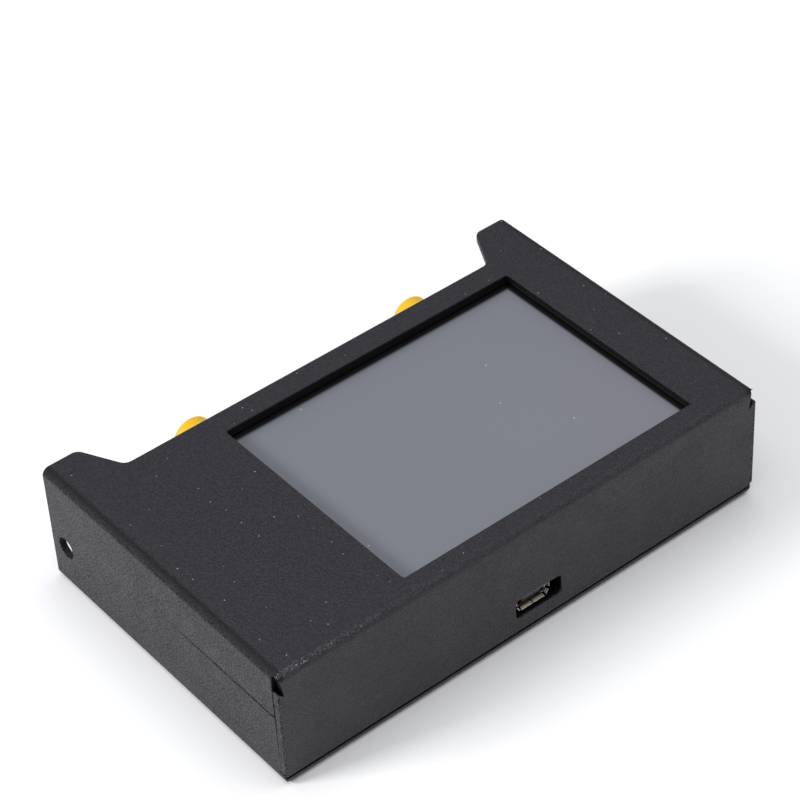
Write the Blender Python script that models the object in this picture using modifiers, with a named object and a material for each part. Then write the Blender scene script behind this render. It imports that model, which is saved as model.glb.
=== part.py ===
"""Handheld vector network analyzer in a folded steel case, as separate parts.

Metres, +Z up. The origin is the centre of the case's bottom face. X runs along the
front wall, and +Y points at the wall with the two coaxial connectors.
"""
import math

import bmesh
import bpy
from mathutils import Matrix, Vector

MM = 0.001
GAP = 0.3 * MM  # clearance between neighbouring solids

# Folded steel case
CASE_WIDTH = 98.0 * MM
CASE_DEPTH = 54.0 * MM  # front wall to the rear edge of the top plate
CASE_HEIGHT = 23.4 * MM
SHEET = 1.2 * MM  # steel with its coat
BEND_RADIUS = 1.4 * MM
BEND_STEPS = 3
EAR_DEPTH = 8.0 * MM  # how far each ear stands behind the top plate's rear edge
EAR_TIP = 6.83 * MM  # width of the ear's flat end
EAR_SLANT = 4.1 * MM  # sideways run of the ear's slanted edge
EAR_HOLE_RADIUS = 1.9 * MM
EAR_HOLE_HEIGHT = 8.8 * MM
SEAM_HEIGHT = 13.97 * MM  # where the upper and lower flanges meet
SEAM_WIDTH = 0.2 * MM
FRONT_END = 0.4 * MM  # how far the front wall's ends stand past the flanges
FRONT_END_BOTTOM = 2.3 * MM
FRONT_END_TOP = 20.2 * MM
FRONT_END_ROOT = 1.5 * MM
RELIEF_INSET = 0.8 * MM  # bend relief beside the front wall's corners
COUNTERSINK_RADIUS = 2.8 * MM

# Derived faces of the case
HALF_WIDTH = CASE_WIDTH / 2
FRONT = -CASE_DEPTH / 2
REAR = CASE_DEPTH / 2
EAR_END = REAR + EAR_DEPTH
INNER_SIDE = HALF_WIDTH - SHEET
INNER_FRONT = FRONT + SHEET
INNER_TOP = CASE_HEIGHT - SHEET

# Window and display stack
WINDOW_WIDTH = 60.1 * MM
WINDOW_DEPTH = 45.4 * MM
WINDOW_CENTRE = (8.55 * MM, -0.3 * MM)
WINDOW_RADIUS = 0.5 * MM
MODULE_WIDTH = 69.2 * MM
MODULE_DEPTH = 50.0 * MM
MODULE_CENTRE = (6.1 * MM, -0.3 * MM)
TOUCH_TOP = 21.2 * MM
TOUCH_THICK = 1.0 * MM
PANEL_THICK = 0.8 * MM
BACKLIGHT_THICK = 1.5 * MM
GASKET_WALL = 2.2 * MM
GASKET_SHORT_WALL = 0.88 * MM  # along the window's front and rear

# Boards
BOARD_THICK = 1.6 * MM
BOARD_TOP = 10.5 * MM
BOARD_HALF_WIDTH = 46.5 * MM
BOARD_FRONT = -24.4 * MM
BOARD_REAR = 22.9 * MM
DISPLAY_BOARD_THICK = 1.2 * MM
DISPLAY_BOARD_SPAN = (-36.2 * MM, 46.9 * MM)
DISPLAY_BOARD_HALF_DEPTH = 24.0 * MM
STACK_X = (-33.0 * MM, 43.9 * MM)
STACK_Y = (-20.0 * MM, 20.0 * MM)
STANDOFF_FLATS = 5.0 * MM
SCREW_RADIUS = 1.25 * MM
SCREW_HOLE_RADIUS = SCREW_RADIUS + GAP
SUNK_HEAD_RADIUS = 2.35 * MM
SUNK_HEAD_BOTTOM = 0.1 * MM
PAN_HEAD_RADIUS = 2.2 * MM
PAN_HEAD_HEIGHT = 1.2 * MM
BOTTOM_SCREW_END = 5.4 * MM
STUD_END = 6.0 * MM

# Battery on the case's floor, with its plug under the main board
BATTERY_SPAN = (-40.0 * MM, -4.0 * MM)
BATTERY_DEPTH_SPAN = (-16.0 * MM, 14.0 * MM)
BATTERY_THICK = 5.2 * MM
PLUG_SPAN = (8.0 * MM, 13.0 * MM)
PLUG_DEPTH_SPAN = (3.6 * MM, 9.4 * MM)
PLUG_SOCKET_SPAN = (13.3 * MM, 18.0 * MM)
PLUG_SOCKET_DEPTH_SPAN = (3.0 * MM, 10.0 * MM)
PLUG_SOCKET_HEIGHT = 4.2 * MM
LEAD_RADIUS = 0.6 * MM
LEAD_OFFSET = 1.3 * MM

# Rear wall and what passes through it
REAR_PANEL_THICK = 1.2 * MM
REAR_PANEL_INNER = 25.6 * MM
REAR_PANEL_OUTER = REAR_PANEL_INNER + REAR_PANEL_THICK
PORT_X = (-18.9 * MM, 28.4 * MM)
PORT_HEIGHT = 11.2 * MM
PORT_THREAD_RADIUS = 3.15 * MM
PORT_END = 36.2 * MM
PORT_FLANGE = 8.0 * MM
PORT_FLANGE_FRONT = 23.2 * MM
PORT_BORE = 2.05 * MM
PORT_MOUTH_BORE = 2.3 * MM
PORT_MOUTH_DEPTH = 1.9 * MM
PORT_LEG_OFFSET = 3.3 * MM
CONTACT_RADIUS = 0.64 * MM
CONTACT_BORE = 0.25 * MM
CONTACT_TAIL = 0.35 * MM
INSULATOR_BORE = CONTACT_RADIUS + GAP
WASHER_RADIUS = 4.3 * MM
WASHER_THICK = 0.5 * MM
NUT_THICK = 1.8 * MM
CAP_RADIUS = 3.9 * MM
CAP_END = 37.7 * MM
CAP_WALL_INNER = PORT_THREAD_RADIUS + GAP
NUT_FLATS = 8.0 * MM
KEY_X = (2.0 * MM, 9.5 * MM, 17.0 * MM)
KEY_HEIGHT = 13.0 * MM
KEY_RADIUS = 1.7 * MM
KEY_END = 28.0 * MM
KEY_COLLAR = 2.3 * MM
KEY_PLUNGER = 0.9 * MM
KEY_SWITCH_HALF_WIDTH = 3.0 * MM
KEY_SWITCH_DEPTH = 3.5 * MM
SLIDER_X = -9.4 * MM  # knob centre in the off position
SLIDER_WIDTH = 2.2 * MM
SLIDER_TRAVEL = 2.0 * MM
SLIDER_HEIGHT = 12.6 * MM
SLIDER_HALF_THICK = 0.7 * MM
SWITCH_HALF_WIDTH = 4.5 * MM
SWITCH_DEPTH = 4.6 * MM

# Charging socket behind the slot in the front wall
SLOT_X = 2.0 * MM
SLOT_WIDTH = 9.5 * MM
SLOT_HEIGHT = 3.8 * MM
SLOT_CENTRE_HEIGHT = 6.65 * MM
SLOT_RADIUS = 0.9 * MM
USB_X = 1.2 * MM
USB_MOUTH = FRONT + 0.7 * MM
USB_TOP = 7.95 * MM
USB_HEIGHT = 2.35 * MM
USB_SHOULDER = 1.2 * MM  # from the shell's top down to where it narrows
USB_HALF_WIDTH = 3.35 * MM
USB_FOOT_HALF_WIDTH = 2.65 * MM
USB_LENGTH = 6.3 * MM
USB_LIP = 0.6 * MM  # length of the flared lips
USB_FLARE = 0.15 * MM
USB_TIN = 0.3 * MM
TONGUE_SIZE = (3.9 * MM, 5.3 * MM, 0.6 * MM)

ROUND = 24  # sides of a round piece
SMALL_ROUND = 16


def clear_scene():
    for obj in list(bpy.data.objects):
        bpy.data.objects.remove(obj, do_unlink=True)


def make_collection(name):
    collection = bpy.data.collections.new(name)
    bpy.context.scene.collection.children.link(collection)
    return collection


def material(name, colour, roughness, metallic=0.0):
    """A Principled material with a linear RGB colour."""
    made = bpy.data.materials.new(name)
    made.use_nodes = True
    shader = made.node_tree.nodes["Principled BSDF"]
    shader.inputs["Base Color"].default_value = (*colour, 1.0)
    shader.inputs["Roughness"].default_value = roughness
    shader.inputs["Metallic"].default_value = metallic
    return made


def add_part(name, mesh, finish, location=(0, 0, 0), rotation=(0, 0, 0)):
    """Link a mesh as one named part in the object's collection."""
    obj = bpy.data.objects.new(name, mesh)
    obj.location = location
    obj.rotation_euler = rotation
    mesh.materials.clear()
    mesh.materials.append(finish)
    PARTS.objects.link(obj)
    return obj


def add_cutter(name, mesh, location=(0, 0, 0), rotation=(0, 0, 0)):
    obj = bpy.data.objects.new(name, mesh)
    obj.location = location
    obj.rotation_euler = rotation
    obj.hide_render = True
    obj.display_type = "WIRE"
    CUTTERS.objects.link(obj)
    return obj


def boolean(obj, other, operation):
    step = obj.modifiers.new(other.name, "BOOLEAN")
    step.operation = operation
    step.solver = "EXACT"
    step.object = other


def finish_mesh(bm, name, smooth=False):
    mesh = bpy.data.meshes.new(name)
    bm.to_mesh(mesh)
    bm.free()
    if smooth:
        mesh.shade_smooth()
        mesh.set_sharp_from_angle(angle=math.radians(35))
    return mesh


def box_mesh(name, size, bevel=0.0):
    """A box about its own centre, with its edges rounded if bevel is given."""
    bm = bmesh.new()
    bmesh.ops.create_cube(bm, size=1.0, matrix=Matrix.Diagonal((*size, 1.0)))
    if bevel:
        bmesh.ops.bevel(bm, geom=bm.edges[:], offset=bevel, segments=2, profile=0.5, affect="EDGES")
    return finish_mesh(bm, name)


def rod_mesh(name, radius, length, sides=ROUND, end_radius=None):
    """A rod or cone about its own centre, along Z."""
    bm = bmesh.new()
    top = radius if end_radius is None else end_radius
    bmesh.ops.create_cone(bm, cap_ends=True, segments=sides, radius1=radius, radius2=top, depth=length)
    return finish_mesh(bm, name, smooth=True)


def rounded_rectangle(width, height, radius=0.0, centre=(0, 0), steps=3):
    """Corner points of a rectangle, each corner an arc if a radius is given."""
    points = []
    for turn, (sx, sy) in enumerate(((1, 1), (-1, 1), (-1, -1), (1, -1))):
        cx = centre[0] + sx * (width / 2 - radius)
        cy = centre[1] + sy * (height / 2 - radius)
        if not radius:
            points.append((cx, cy))
            continue
        for step in range(steps + 1):
            angle = math.radians(90 * (turn + step / steps))
            points.append((cx + radius * math.cos(angle), cy + radius * math.sin(angle)))
    return points


def circle(radius, centre=(0, 0), sides=ROUND):
    turns = [2 * math.pi * i / sides for i in range(sides)]
    return [(centre[0] + radius * math.cos(a), centre[1] + radius * math.sin(a)) for a in turns]


def hexagon(flats, centre=(0, 0)):
    return circle(flats / math.sqrt(3), centre, 6)


def plate_mesh(name, loops, thickness):
    """A flat plate from an outer loop and any hole loops, centred on its thickness."""
    curve = bpy.data.curves.new(name, "CURVE")
    curve.dimensions = "2D"
    curve.fill_mode = "BOTH"
    curve.extrude = thickness / 2
    for loop in loops:
        spline = curve.splines.new("POLY")
        spline.points.add(len(loop) - 1)
        for point, (x, y) in zip(spline.points, loop):
            point.co = (x, y, 0, 1)
        spline.use_cyclic_u = True
    outline = bpy.data.objects.new(name + "_outline", curve)
    PARTS.objects.link(outline)
    graph = bpy.context.evaluated_depsgraph_get()
    mesh = bpy.data.meshes.new_from_object(outline.evaluated_get(graph))
    mesh.name = name
    bpy.data.objects.remove(outline, do_unlink=True)
    bpy.data.curves.remove(curve)
    bm = bmesh.new()
    bm.from_mesh(mesh)
    bmesh.ops.remove_doubles(bm, verts=bm.verts, dist=0.01 * MM)
    bm.to_mesh(mesh)
    bm.free()
    return mesh


def turned(name, profile, finish, location, rotation=(0, 0, 0), sides=ROUND):
    """A solid turned about Z from (radius, height) points, outer side top to bottom."""
    bm = bmesh.new()
    verts = [bm.verts.new((radius, 0, height)) for radius, height in profile]
    for start, end in zip(verts, verts[1:]):
        bm.edges.new((start, end))
    if profile[0][0] > 0:
        bm.edges.new((verts[-1], verts[0]))
    obj = add_part(name, finish_mesh(bm, name), finish, location, rotation)
    screw = obj.modifiers.new("turn", "SCREW")
    screw.axis = "Z"
    screw.steps = sides
    screw.render_steps = sides
    screw.use_merge_vertices = True
    screw.merge_threshold = 0.00001
    screw.use_smooth_shade = True
    return obj


def span_box(name, low, high, finish, bevel=0.0):
    """A box part between two corners."""
    size = [b - a for a, b in zip(low, high)]
    centre = [(a + b) / 2 for a, b in zip(low, high)]
    return add_part(name, box_mesh(name, size, bevel), finish, centre)


def cut_box(obj, name, low, high):
    size = [b - a for a, b in zip(low, high)]
    centre = [(a + b) / 2 for a, b in zip(low, high)]
    boolean(obj, add_cutter(name, box_mesh(name, size), centre), "DIFFERENCE")


def tube_part(name, points, radius, finish):
    """A wire through points, as a bevelled curve with filled caps."""
    curve = bpy.data.curves.new(name, "CURVE")
    curve.dimensions = "3D"
    curve.bevel_depth = radius
    curve.bevel_resolution = 2
    curve.use_fill_caps = True
    spline = curve.splines.new("POLY")
    spline.points.add(len(points) - 1)
    for point, place in zip(spline.points, points):
        point.co = (*place, 1)
    curve.materials.append(finish)
    obj = bpy.data.objects.new(name, curve)
    PARTS.objects.link(obj)
    return obj


def smooth_route(controls, steps):
    """Points on a Catmull-Rom curve through the control points."""
    padded = [controls[0]] + controls + [controls[-1]]
    points = []
    for before, start, end, after in zip(padded, padded[1:], padded[2:], padded[3:]):
        p0, p1, p2, p3 = Vector(before), Vector(start), Vector(end), Vector(after)
        for step in range(steps):
            t = step / steps
            bend = 2 * p1 + (p2 - p0) * t + (2 * p0 - 5 * p1 + 4 * p2 - p3) * t * t
            points.append((bend + (3 * p1 - p0 - 3 * p2 + p3) * t ** 3) / 2)
    points.append(Vector(controls[-1]))
    return points


# ---------------------------------------------------------------- folded case


def case_surface():
    """The outside of the case with its folds rounded, open at the rear."""
    bm = bmesh.new()
    size = (CASE_WIDTH, CASE_DEPTH + EAR_DEPTH, CASE_HEIGHT)
    place = Matrix.Translation((0, EAR_DEPTH / 2, CASE_HEIGHT / 2))
    bmesh.ops.create_cube(bm, size=1.0, matrix=place @ Matrix.Diagonal((*size, 1.0)))
    bm.faces.ensure_lookup_table()
    rear = [face for face in bm.faces if face.normal.y > 0.5]
    bmesh.ops.delete(bm, geom=rear, context="FACES_ONLY")
    folds = [edge for edge in bm.edges if len(edge.link_faces) == 2 and not is_upright(edge)]
    bmesh.ops.bevel(
        bm, geom=folds, offset=BEND_RADIUS, segments=BEND_STEPS, profile=0.5, affect="EDGES"
    )
    return finish_mesh(bm, "case_shell")


def is_upright(edge):
    start, end = edge.verts
    return abs(start.co.z - end.co.z) > CASE_HEIGHT / 2


def cut_rear_between_ears(shell):
    inner = HALF_WIDTH - EAR_TIP
    past = EAR_DEPTH + MM
    wide = inner + EAR_SLANT * (past - EAR_DEPTH) / EAR_DEPTH
    narrow = inner - EAR_SLANT
    outline = [(-narrow, REAR), (narrow, REAR), (wide, REAR + past), (-wide, REAR + past)]
    mesh = plate_mesh("rear_gap", [outline], CASE_HEIGHT + 2 * MM)
    boolean(shell, add_cutter("rear_gap", mesh, (0, 0, CASE_HEIGHT / 2)), "DIFFERENCE")


def cut_window(shell):
    outline = rounded_rectangle(WINDOW_WIDTH, WINDOW_DEPTH, WINDOW_RADIUS, WINDOW_CENTRE)
    mesh = plate_mesh("window", [outline], 4 * MM)
    boolean(shell, add_cutter("window", mesh, (0, 0, CASE_HEIGHT)), "DIFFERENCE")


def cut_socket_slot(shell):
    outline = rounded_rectangle(SLOT_WIDTH, SLOT_HEIGHT, SLOT_RADIUS)
    mesh = plate_mesh("socket_slot", [outline], 4 * MM)
    place = (SLOT_X, FRONT, SLOT_CENTRE_HEIGHT)
    boolean(shell, add_cutter("socket_slot", mesh, place, (math.pi / 2, 0, 0)), "DIFFERENCE")


def cut_ear_holes(shell):
    mesh = rod_mesh("ear_holes", EAR_HOLE_RADIUS, CASE_WIDTH + 4 * MM, SMALL_ROUND)
    place = (0, REAR + EAR_DEPTH / 2, EAR_HOLE_HEIGHT)
    boolean(shell, add_cutter("ear_holes", mesh, place, (0, math.pi / 2, 0)), "DIFFERENCE")


def cut_seams(shell, side):
    """The butt seam between flanges and the open front corner on one side."""
    outside = side * (HALF_WIDTH + MM)
    inside = side * (INNER_SIDE - 0.5 * MM)
    low, high = min(inside, outside), max(inside, outside)
    half = SEAM_WIDTH / 2
    corner = INNER_FRONT + SEAM_WIDTH
    name = "left" if side < 0 else "right"
    cut_box(
        shell, "seam_" + name,
        (low, INNER_FRONT + half, SEAM_HEIGHT - half), (high, EAR_END + MM, SEAM_HEIGHT + half),
    )
    cut_box(
        shell, "corner_" + name,
        (low, INNER_FRONT, BEND_RADIUS), (high, corner, CASE_HEIGHT - BEND_RADIUS),
    )
    edge = side * (HALF_WIDTH - RELIEF_INSET)
    low, high = min(edge, outside), max(edge, outside)
    bottoms = (BEND_RADIUS, FRONT_END_TOP)
    tops = (FRONT_END_BOTTOM, CASE_HEIGHT - BEND_RADIUS)
    for index, (bottom, top) in enumerate(zip(bottoms, tops)):
        cut_box(
            shell, f"relief_{name}_{index}",
            (low, FRONT - MM, bottom), (high, INNER_FRONT + half, top),
        )


def add_front_end(shell, side):
    """The end of the front wall, which stands past the flange it covers."""
    low = side * (HALF_WIDTH - FRONT_END_ROOT)
    high = side * (HALF_WIDTH + FRONT_END)
    step = 0.01 * MM
    size = (abs(high - low), SHEET - 2 * step, FRONT_END_TOP - FRONT_END_BOTTOM)
    centre = (
        (low + high) / 2, FRONT + SHEET / 2, (FRONT_END_TOP + FRONT_END_BOTTOM) / 2
    )
    name = "front_end_left" if side < 0 else "front_end_right"
    boolean(shell, add_cutter(name, box_mesh(name, size), centre), "UNION")


def cut_countersinks(shell):
    for x in STACK_X:
        for y in STACK_Y:
            mesh = rod_mesh(
                "countersink", COUNTERSINK_RADIUS, SHEET + 0.4 * MM, SMALL_ROUND, SCREW_HOLE_RADIUS
            )
            boolean(shell, add_cutter("countersink", mesh, (x, y, SHEET / 2)), "DIFFERENCE")


def make_case():
    shell = add_part("case_shell", case_surface(), COAT)
    wall = shell.modifiers.new("sheet", "SOLIDIFY")
    wall.thickness = SHEET
    wall.offset = -1
    wall.use_even_offset = True
    cut_rear_between_ears(shell)
    cut_window(shell)
    cut_socket_slot(shell)
    cut_ear_holes(shell)
    for side in (-1, 1):
        cut_seams(shell, side)
        add_front_end(shell, side)
    cut_countersinks(shell)


def make_rear_panel():
    width = 2 * (INNER_SIDE - GAP)
    bottom = SHEET + GAP
    top = INNER_TOP - GAP
    loops = [rounded_rectangle(width, top - bottom, 0.8 * MM, (0, (top + bottom) / 2))]
    loops += [circle(PORT_THREAD_RADIUS + GAP, (x, PORT_HEIGHT)) for x in PORT_X]
    loops += [circle(KEY_RADIUS + GAP, (x, KEY_HEIGHT), SMALL_ROUND) for x in KEY_X]
    slot = SLIDER_WIDTH + SLIDER_TRAVEL + 2 * GAP
    centre = (SLIDER_X + SLIDER_TRAVEL / 2, SLIDER_HEIGHT)
    loops.append(rounded_rectangle(slot, 2.0 * MM, 0.3 * MM, centre, 2))
    mesh = plate_mesh("rear_panel", loops, REAR_PANEL_THICK)
    place = (0, (REAR_PANEL_INNER + REAR_PANEL_OUTER) / 2, 0)
    add_part("rear_panel", mesh, COAT, place, (math.pi / 2, 0, 0))


# ---------------------------------------------------------------- display stack


def make_display():
    """Gasket, touch panel, screen and backlight, stacked down from the window."""
    x, y = MODULE_CENTRE
    outer = rounded_rectangle(MODULE_WIDTH, MODULE_DEPTH, 0, (x, y))
    touch = plate_mesh("touch_panel", [outer], TOUCH_THICK)
    add_part("touch_panel", touch, SCREEN_GLASS, (0, 0, TOUCH_TOP - TOUCH_THICK / 2))

    gasket_bottom = TOUCH_TOP + GAP
    gasket_top = INNER_TOP - GAP
    inner_width = WINDOW_WIDTH + 2 * GAP
    inner_depth = WINDOW_DEPTH + 2 * GAP
    loops = [
        rounded_rectangle(
            inner_width + 2 * GASKET_WALL, inner_depth + 2 * GASKET_SHORT_WALL, 0, WINDOW_CENTRE
        ),
        rounded_rectangle(inner_width, inner_depth, 0, WINDOW_CENTRE),
    ]
    gasket = plate_mesh("window_gasket", loops, gasket_top - gasket_bottom)
    add_part("window_gasket", gasket, FOAM, (0, 0, (gasket_top + gasket_bottom) / 2))

    panel_top = TOUCH_TOP - TOUCH_THICK - GAP
    panel_size = (MODULE_WIDTH - 0.6 * MM, MODULE_DEPTH - 0.6 * MM, PANEL_THICK)
    add_part(
        "lcd_panel", box_mesh("lcd_panel", panel_size), PANEL_GREY, (x, y, panel_top - PANEL_THICK / 2)
    )
    light_top = panel_top - PANEL_THICK - GAP
    light_size = (MODULE_WIDTH, MODULE_DEPTH, BACKLIGHT_THICK)
    add_part(
        "lcd_backlight", box_mesh("lcd_backlight", light_size, 0.3 * MM), TIN,
        (x, y, light_top - BACKLIGHT_THICK / 2),
    )
    make_display_board(light_top - BACKLIGHT_THICK - GAP)
    make_flex(panel_top - PANEL_THICK / 2, light_top - BACKLIGHT_THICK)


def make_display_board(top):
    low, high = DISPLAY_BOARD_SPAN
    centre = (low + high) / 2
    loops = [rounded_rectangle(high - low, 2 * DISPLAY_BOARD_HALF_DEPTH, 1.0 * MM, (centre, 0))]
    loops += [circle(SCREW_HOLE_RADIUS, (x, y), SMALL_ROUND) for x in STACK_X for y in STACK_Y]
    mesh = plate_mesh("display_board", loops, DISPLAY_BOARD_THICK)
    bottom = top - DISPLAY_BOARD_THICK
    add_part("display_board", mesh, BOARD_GREEN, (0, 0, (top + bottom) / 2))

    header_x = STACK_X[0]
    middle = BOARD_TOP + GAP + 2.5 * MM
    span_box(
        "display_header", (header_x - 2.5 * MM, -12.7 * MM, BOARD_TOP + GAP),
        (header_x + 2.5 * MM, 12.7 * MM, middle), PLASTIC_BLACK,
    )
    span_box(
        "display_socket", (header_x - 2.5 * MM, -12.7 * MM, middle + GAP),
        (header_x + 2.5 * MM, 12.7 * MM, bottom - GAP), PLASTIC_BLACK,
    )
    make_upper_hardware(bottom, top)


def make_flex(start_height, end_height):
    """The flexible lead from the screen's edge down to its board."""
    edge = MODULE_CENTRE[0] - MODULE_WIDTH / 2 + 0.3 * MM - GAP
    half = 0.1 * MM
    drop = start_height - end_height
    run = 2.2 * MM
    centre_line = [(edge, start_height)]
    for step in range(7):
        t = step / 6
        height = start_height - drop * (1 - math.cos(math.pi * t)) / 2
        centre_line.append((edge - 0.4 * MM - run * t, height))
    centre_line.append((edge - 4.2 * MM, end_height))
    upper = [(x, z + half) for x, z in centre_line]
    lower = [(x, z - half) for x, z in reversed(centre_line)]
    mesh = plate_mesh("display_flex", [upper + lower], 18.0 * MM)
    add_part("display_flex", mesh, FLEX_AMBER, (0, 0, 0), (math.pi / 2, 0, 0))


# ---------------------------------------------------------------- boards and hardware


def make_main_board():
    depth = BOARD_REAR - BOARD_FRONT
    centre = (0, (BOARD_REAR + BOARD_FRONT) / 2)
    loops = [rounded_rectangle(2 * BOARD_HALF_WIDTH, depth, 1.0 * MM, centre)]
    loops += [circle(SCREW_HOLE_RADIUS, (x, y), SMALL_ROUND) for x in STACK_X for y in STACK_Y]
    mesh = plate_mesh("main_board", loops, BOARD_THICK)
    add_part("main_board", mesh, BOARD_GREEN, (0, 0, BOARD_TOP - BOARD_THICK / 2))


def make_chips():
    chips = (
        ("processor_chip", (4.0, -9.0), (7.0, 7.0, 1.0)),
        ("synthesizer_chip_left", (-13.0, -3.0), (4.0, 4.0, 0.9)),
        ("synthesizer_chip_right", (24.0, -3.0), (4.0, 4.0, 0.9)),
    )
    for name, (x, y), (width, depth, height) in chips:
        mesh = box_mesh(name, (width * MM, depth * MM, height * MM))
        place = (x * MM, y * MM, BOARD_TOP + GAP + height * MM / 2)
        add_part(name, mesh, CHIP_BLACK, place)


def make_shield_can(name, x):
    """An open-bottomed tin lid over the circuit behind one port."""
    size = (16.0 * MM, 14.0 * MM, 3.0 * MM)
    bm = bmesh.new()
    bmesh.ops.create_cube(bm, size=1.0, matrix=Matrix.Diagonal((*size, 1.0)))
    bm.faces.ensure_lookup_table()
    bottom = [face for face in bm.faces if face.normal.z < -0.5]
    bmesh.ops.delete(bm, geom=bottom, context="FACES_ONLY")
    place = (x, 11.0 * MM, BOARD_TOP + GAP + size[2] / 2)
    can = add_part(name, finish_mesh(bm, name), TIN, place)
    wall = can.modifiers.new("tin", "SOLIDIFY")
    wall.thickness = 0.2 * MM
    wall.offset = -1
    wall.use_even_offset = True


def at_corners(name, mesh, finish, height=0.0):
    """One copy of a fastener at each corner of the board stack, sharing its mesh."""
    for x, across in zip(STACK_X, ("left", "right")):
        for y, along in zip(STACK_Y, ("front", "rear")):
            add_part(f"{name}_{along}_{across}", mesh, finish, (x, y, height))


def turned_mesh(name, profile, finish):
    """A turned solid as a plain mesh, for a fastener that is repeated."""
    obj = turned(name, profile, finish, (0, 0, 0), sides=SMALL_ROUND)
    graph = bpy.context.evaluated_depsgraph_get()
    mesh = bpy.data.meshes.new_from_object(obj.evaluated_get(graph))
    bpy.data.objects.remove(obj, do_unlink=True)
    return mesh


def make_lower_hardware():
    """Standoffs under the main board, and the countersunk screws that hold them."""
    bottom = SHEET + GAP
    top = BOARD_TOP - BOARD_THICK - GAP
    loops = [hexagon(STANDOFF_FLATS), circle(SCREW_HOLE_RADIUS, sides=SMALL_ROUND)]
    mesh = plate_mesh("lower_standoff", loops, top - bottom)
    at_corners("lower_standoff", mesh, BRASS, (top + bottom) / 2)

    profile = [
        (0, BOTTOM_SCREW_END), (SCREW_RADIUS, BOTTOM_SCREW_END), (SCREW_RADIUS, SHEET),
        (SUNK_HEAD_RADIUS, SUNK_HEAD_BOTTOM), (0, SUNK_HEAD_BOTTOM),
    ]
    at_corners("bottom_screw", turned_mesh("bottom_screw", profile, STEEL), STEEL)


def make_upper_hardware(board_bottom, board_top):
    """Studded standoffs between the boards, and the screws through the display board."""
    bottom = BOARD_TOP + GAP
    top = board_bottom - GAP
    bore_bottom = bottom + 1.0 * MM
    body = STANDOFF_FLATS / 2
    profile = [
        (SCREW_HOLE_RADIUS, top), (body, top), (body, bottom), (SCREW_RADIUS, bottom),
        (SCREW_RADIUS, STUD_END), (0, STUD_END),
    ]
    profile = [(0, bore_bottom), (SCREW_HOLE_RADIUS, bore_bottom)] + profile
    at_corners("upper_standoff", turned_mesh("upper_standoff", profile, BRASS), BRASS)

    head_bottom = board_top + GAP
    head_top = head_bottom + PAN_HEAD_HEIGHT
    profile = [
        (0, head_top), (PAN_HEAD_RADIUS, head_top), (PAN_HEAD_RADIUS, head_bottom),
        (SCREW_RADIUS, head_bottom), (SCREW_RADIUS, bore_bottom + GAP), (0, bore_bottom + GAP),
    ]
    at_corners("display_screw", turned_mesh("display_screw", profile, STEEL), STEEL)


def make_battery():
    """A flat cell on the case's floor with two leads to a plug under the board."""
    floor = SHEET + GAP
    low = (BATTERY_SPAN[0], BATTERY_DEPTH_SPAN[0], floor)
    high = (BATTERY_SPAN[1], BATTERY_DEPTH_SPAN[1], floor + BATTERY_THICK)
    span_box("battery_cell", low, high, FOIL, 1.0 * MM)
    top = BOARD_TOP - BOARD_THICK - GAP
    bottom = top - PLUG_SOCKET_HEIGHT
    low, high = zip(PLUG_SOCKET_SPAN, PLUG_SOCKET_DEPTH_SPAN, (bottom, top))
    span_box("battery_socket", low, high, PLASTIC_WHITE)
    low, high = zip(PLUG_SPAN, PLUG_DEPTH_SPAN, (bottom, top - GAP))
    span_box("battery_plug", low, high, PLASTIC_WHITE)
    make_lead("battery_lead_red", LEAD_OFFSET, (bottom + top) / 2, LEAD_RED)
    make_lead("battery_lead_black", -LEAD_OFFSET, (bottom + top) / 2, LEAD_BLACK)


def make_lead(name, offset, plug_height, finish):
    """One lead, rising gently from the cell's edge to the plug."""
    start = BATTERY_SPAN[1] + GAP
    end = PLUG_SPAN[0] - GAP
    y = sum(PLUG_DEPTH_SPAN) / 2 + offset
    cell_height = 4.0 * MM
    bend = 2.5 * MM
    controls = [
        (start, y, cell_height), (start + bend, y, cell_height),
        ((start + end) / 2, y, (cell_height + plug_height) / 2),
        (end - bend, y, plug_height), (end, y, plug_height),
    ]
    tube_part(name, smooth_route(controls, 4), LEAD_RADIUS, finish)


# ---------------------------------------------------------------- charging socket


def usb_outline(grow):
    """Half-hexagon mouth outline with its narrow side down."""
    top = USB_TOP + grow
    bottom = USB_TOP - USB_HEIGHT - grow
    shoulder = USB_TOP - USB_SHOULDER
    wide = USB_HALF_WIDTH + grow
    narrow = USB_FOOT_HALF_WIDTH + grow / 2
    return [
        (USB_X - wide, top), (USB_X + wide, top), (USB_X + wide, shoulder),
        (USB_X + narrow, bottom), (USB_X - narrow, bottom), (USB_X - wide, shoulder),
    ]


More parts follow.
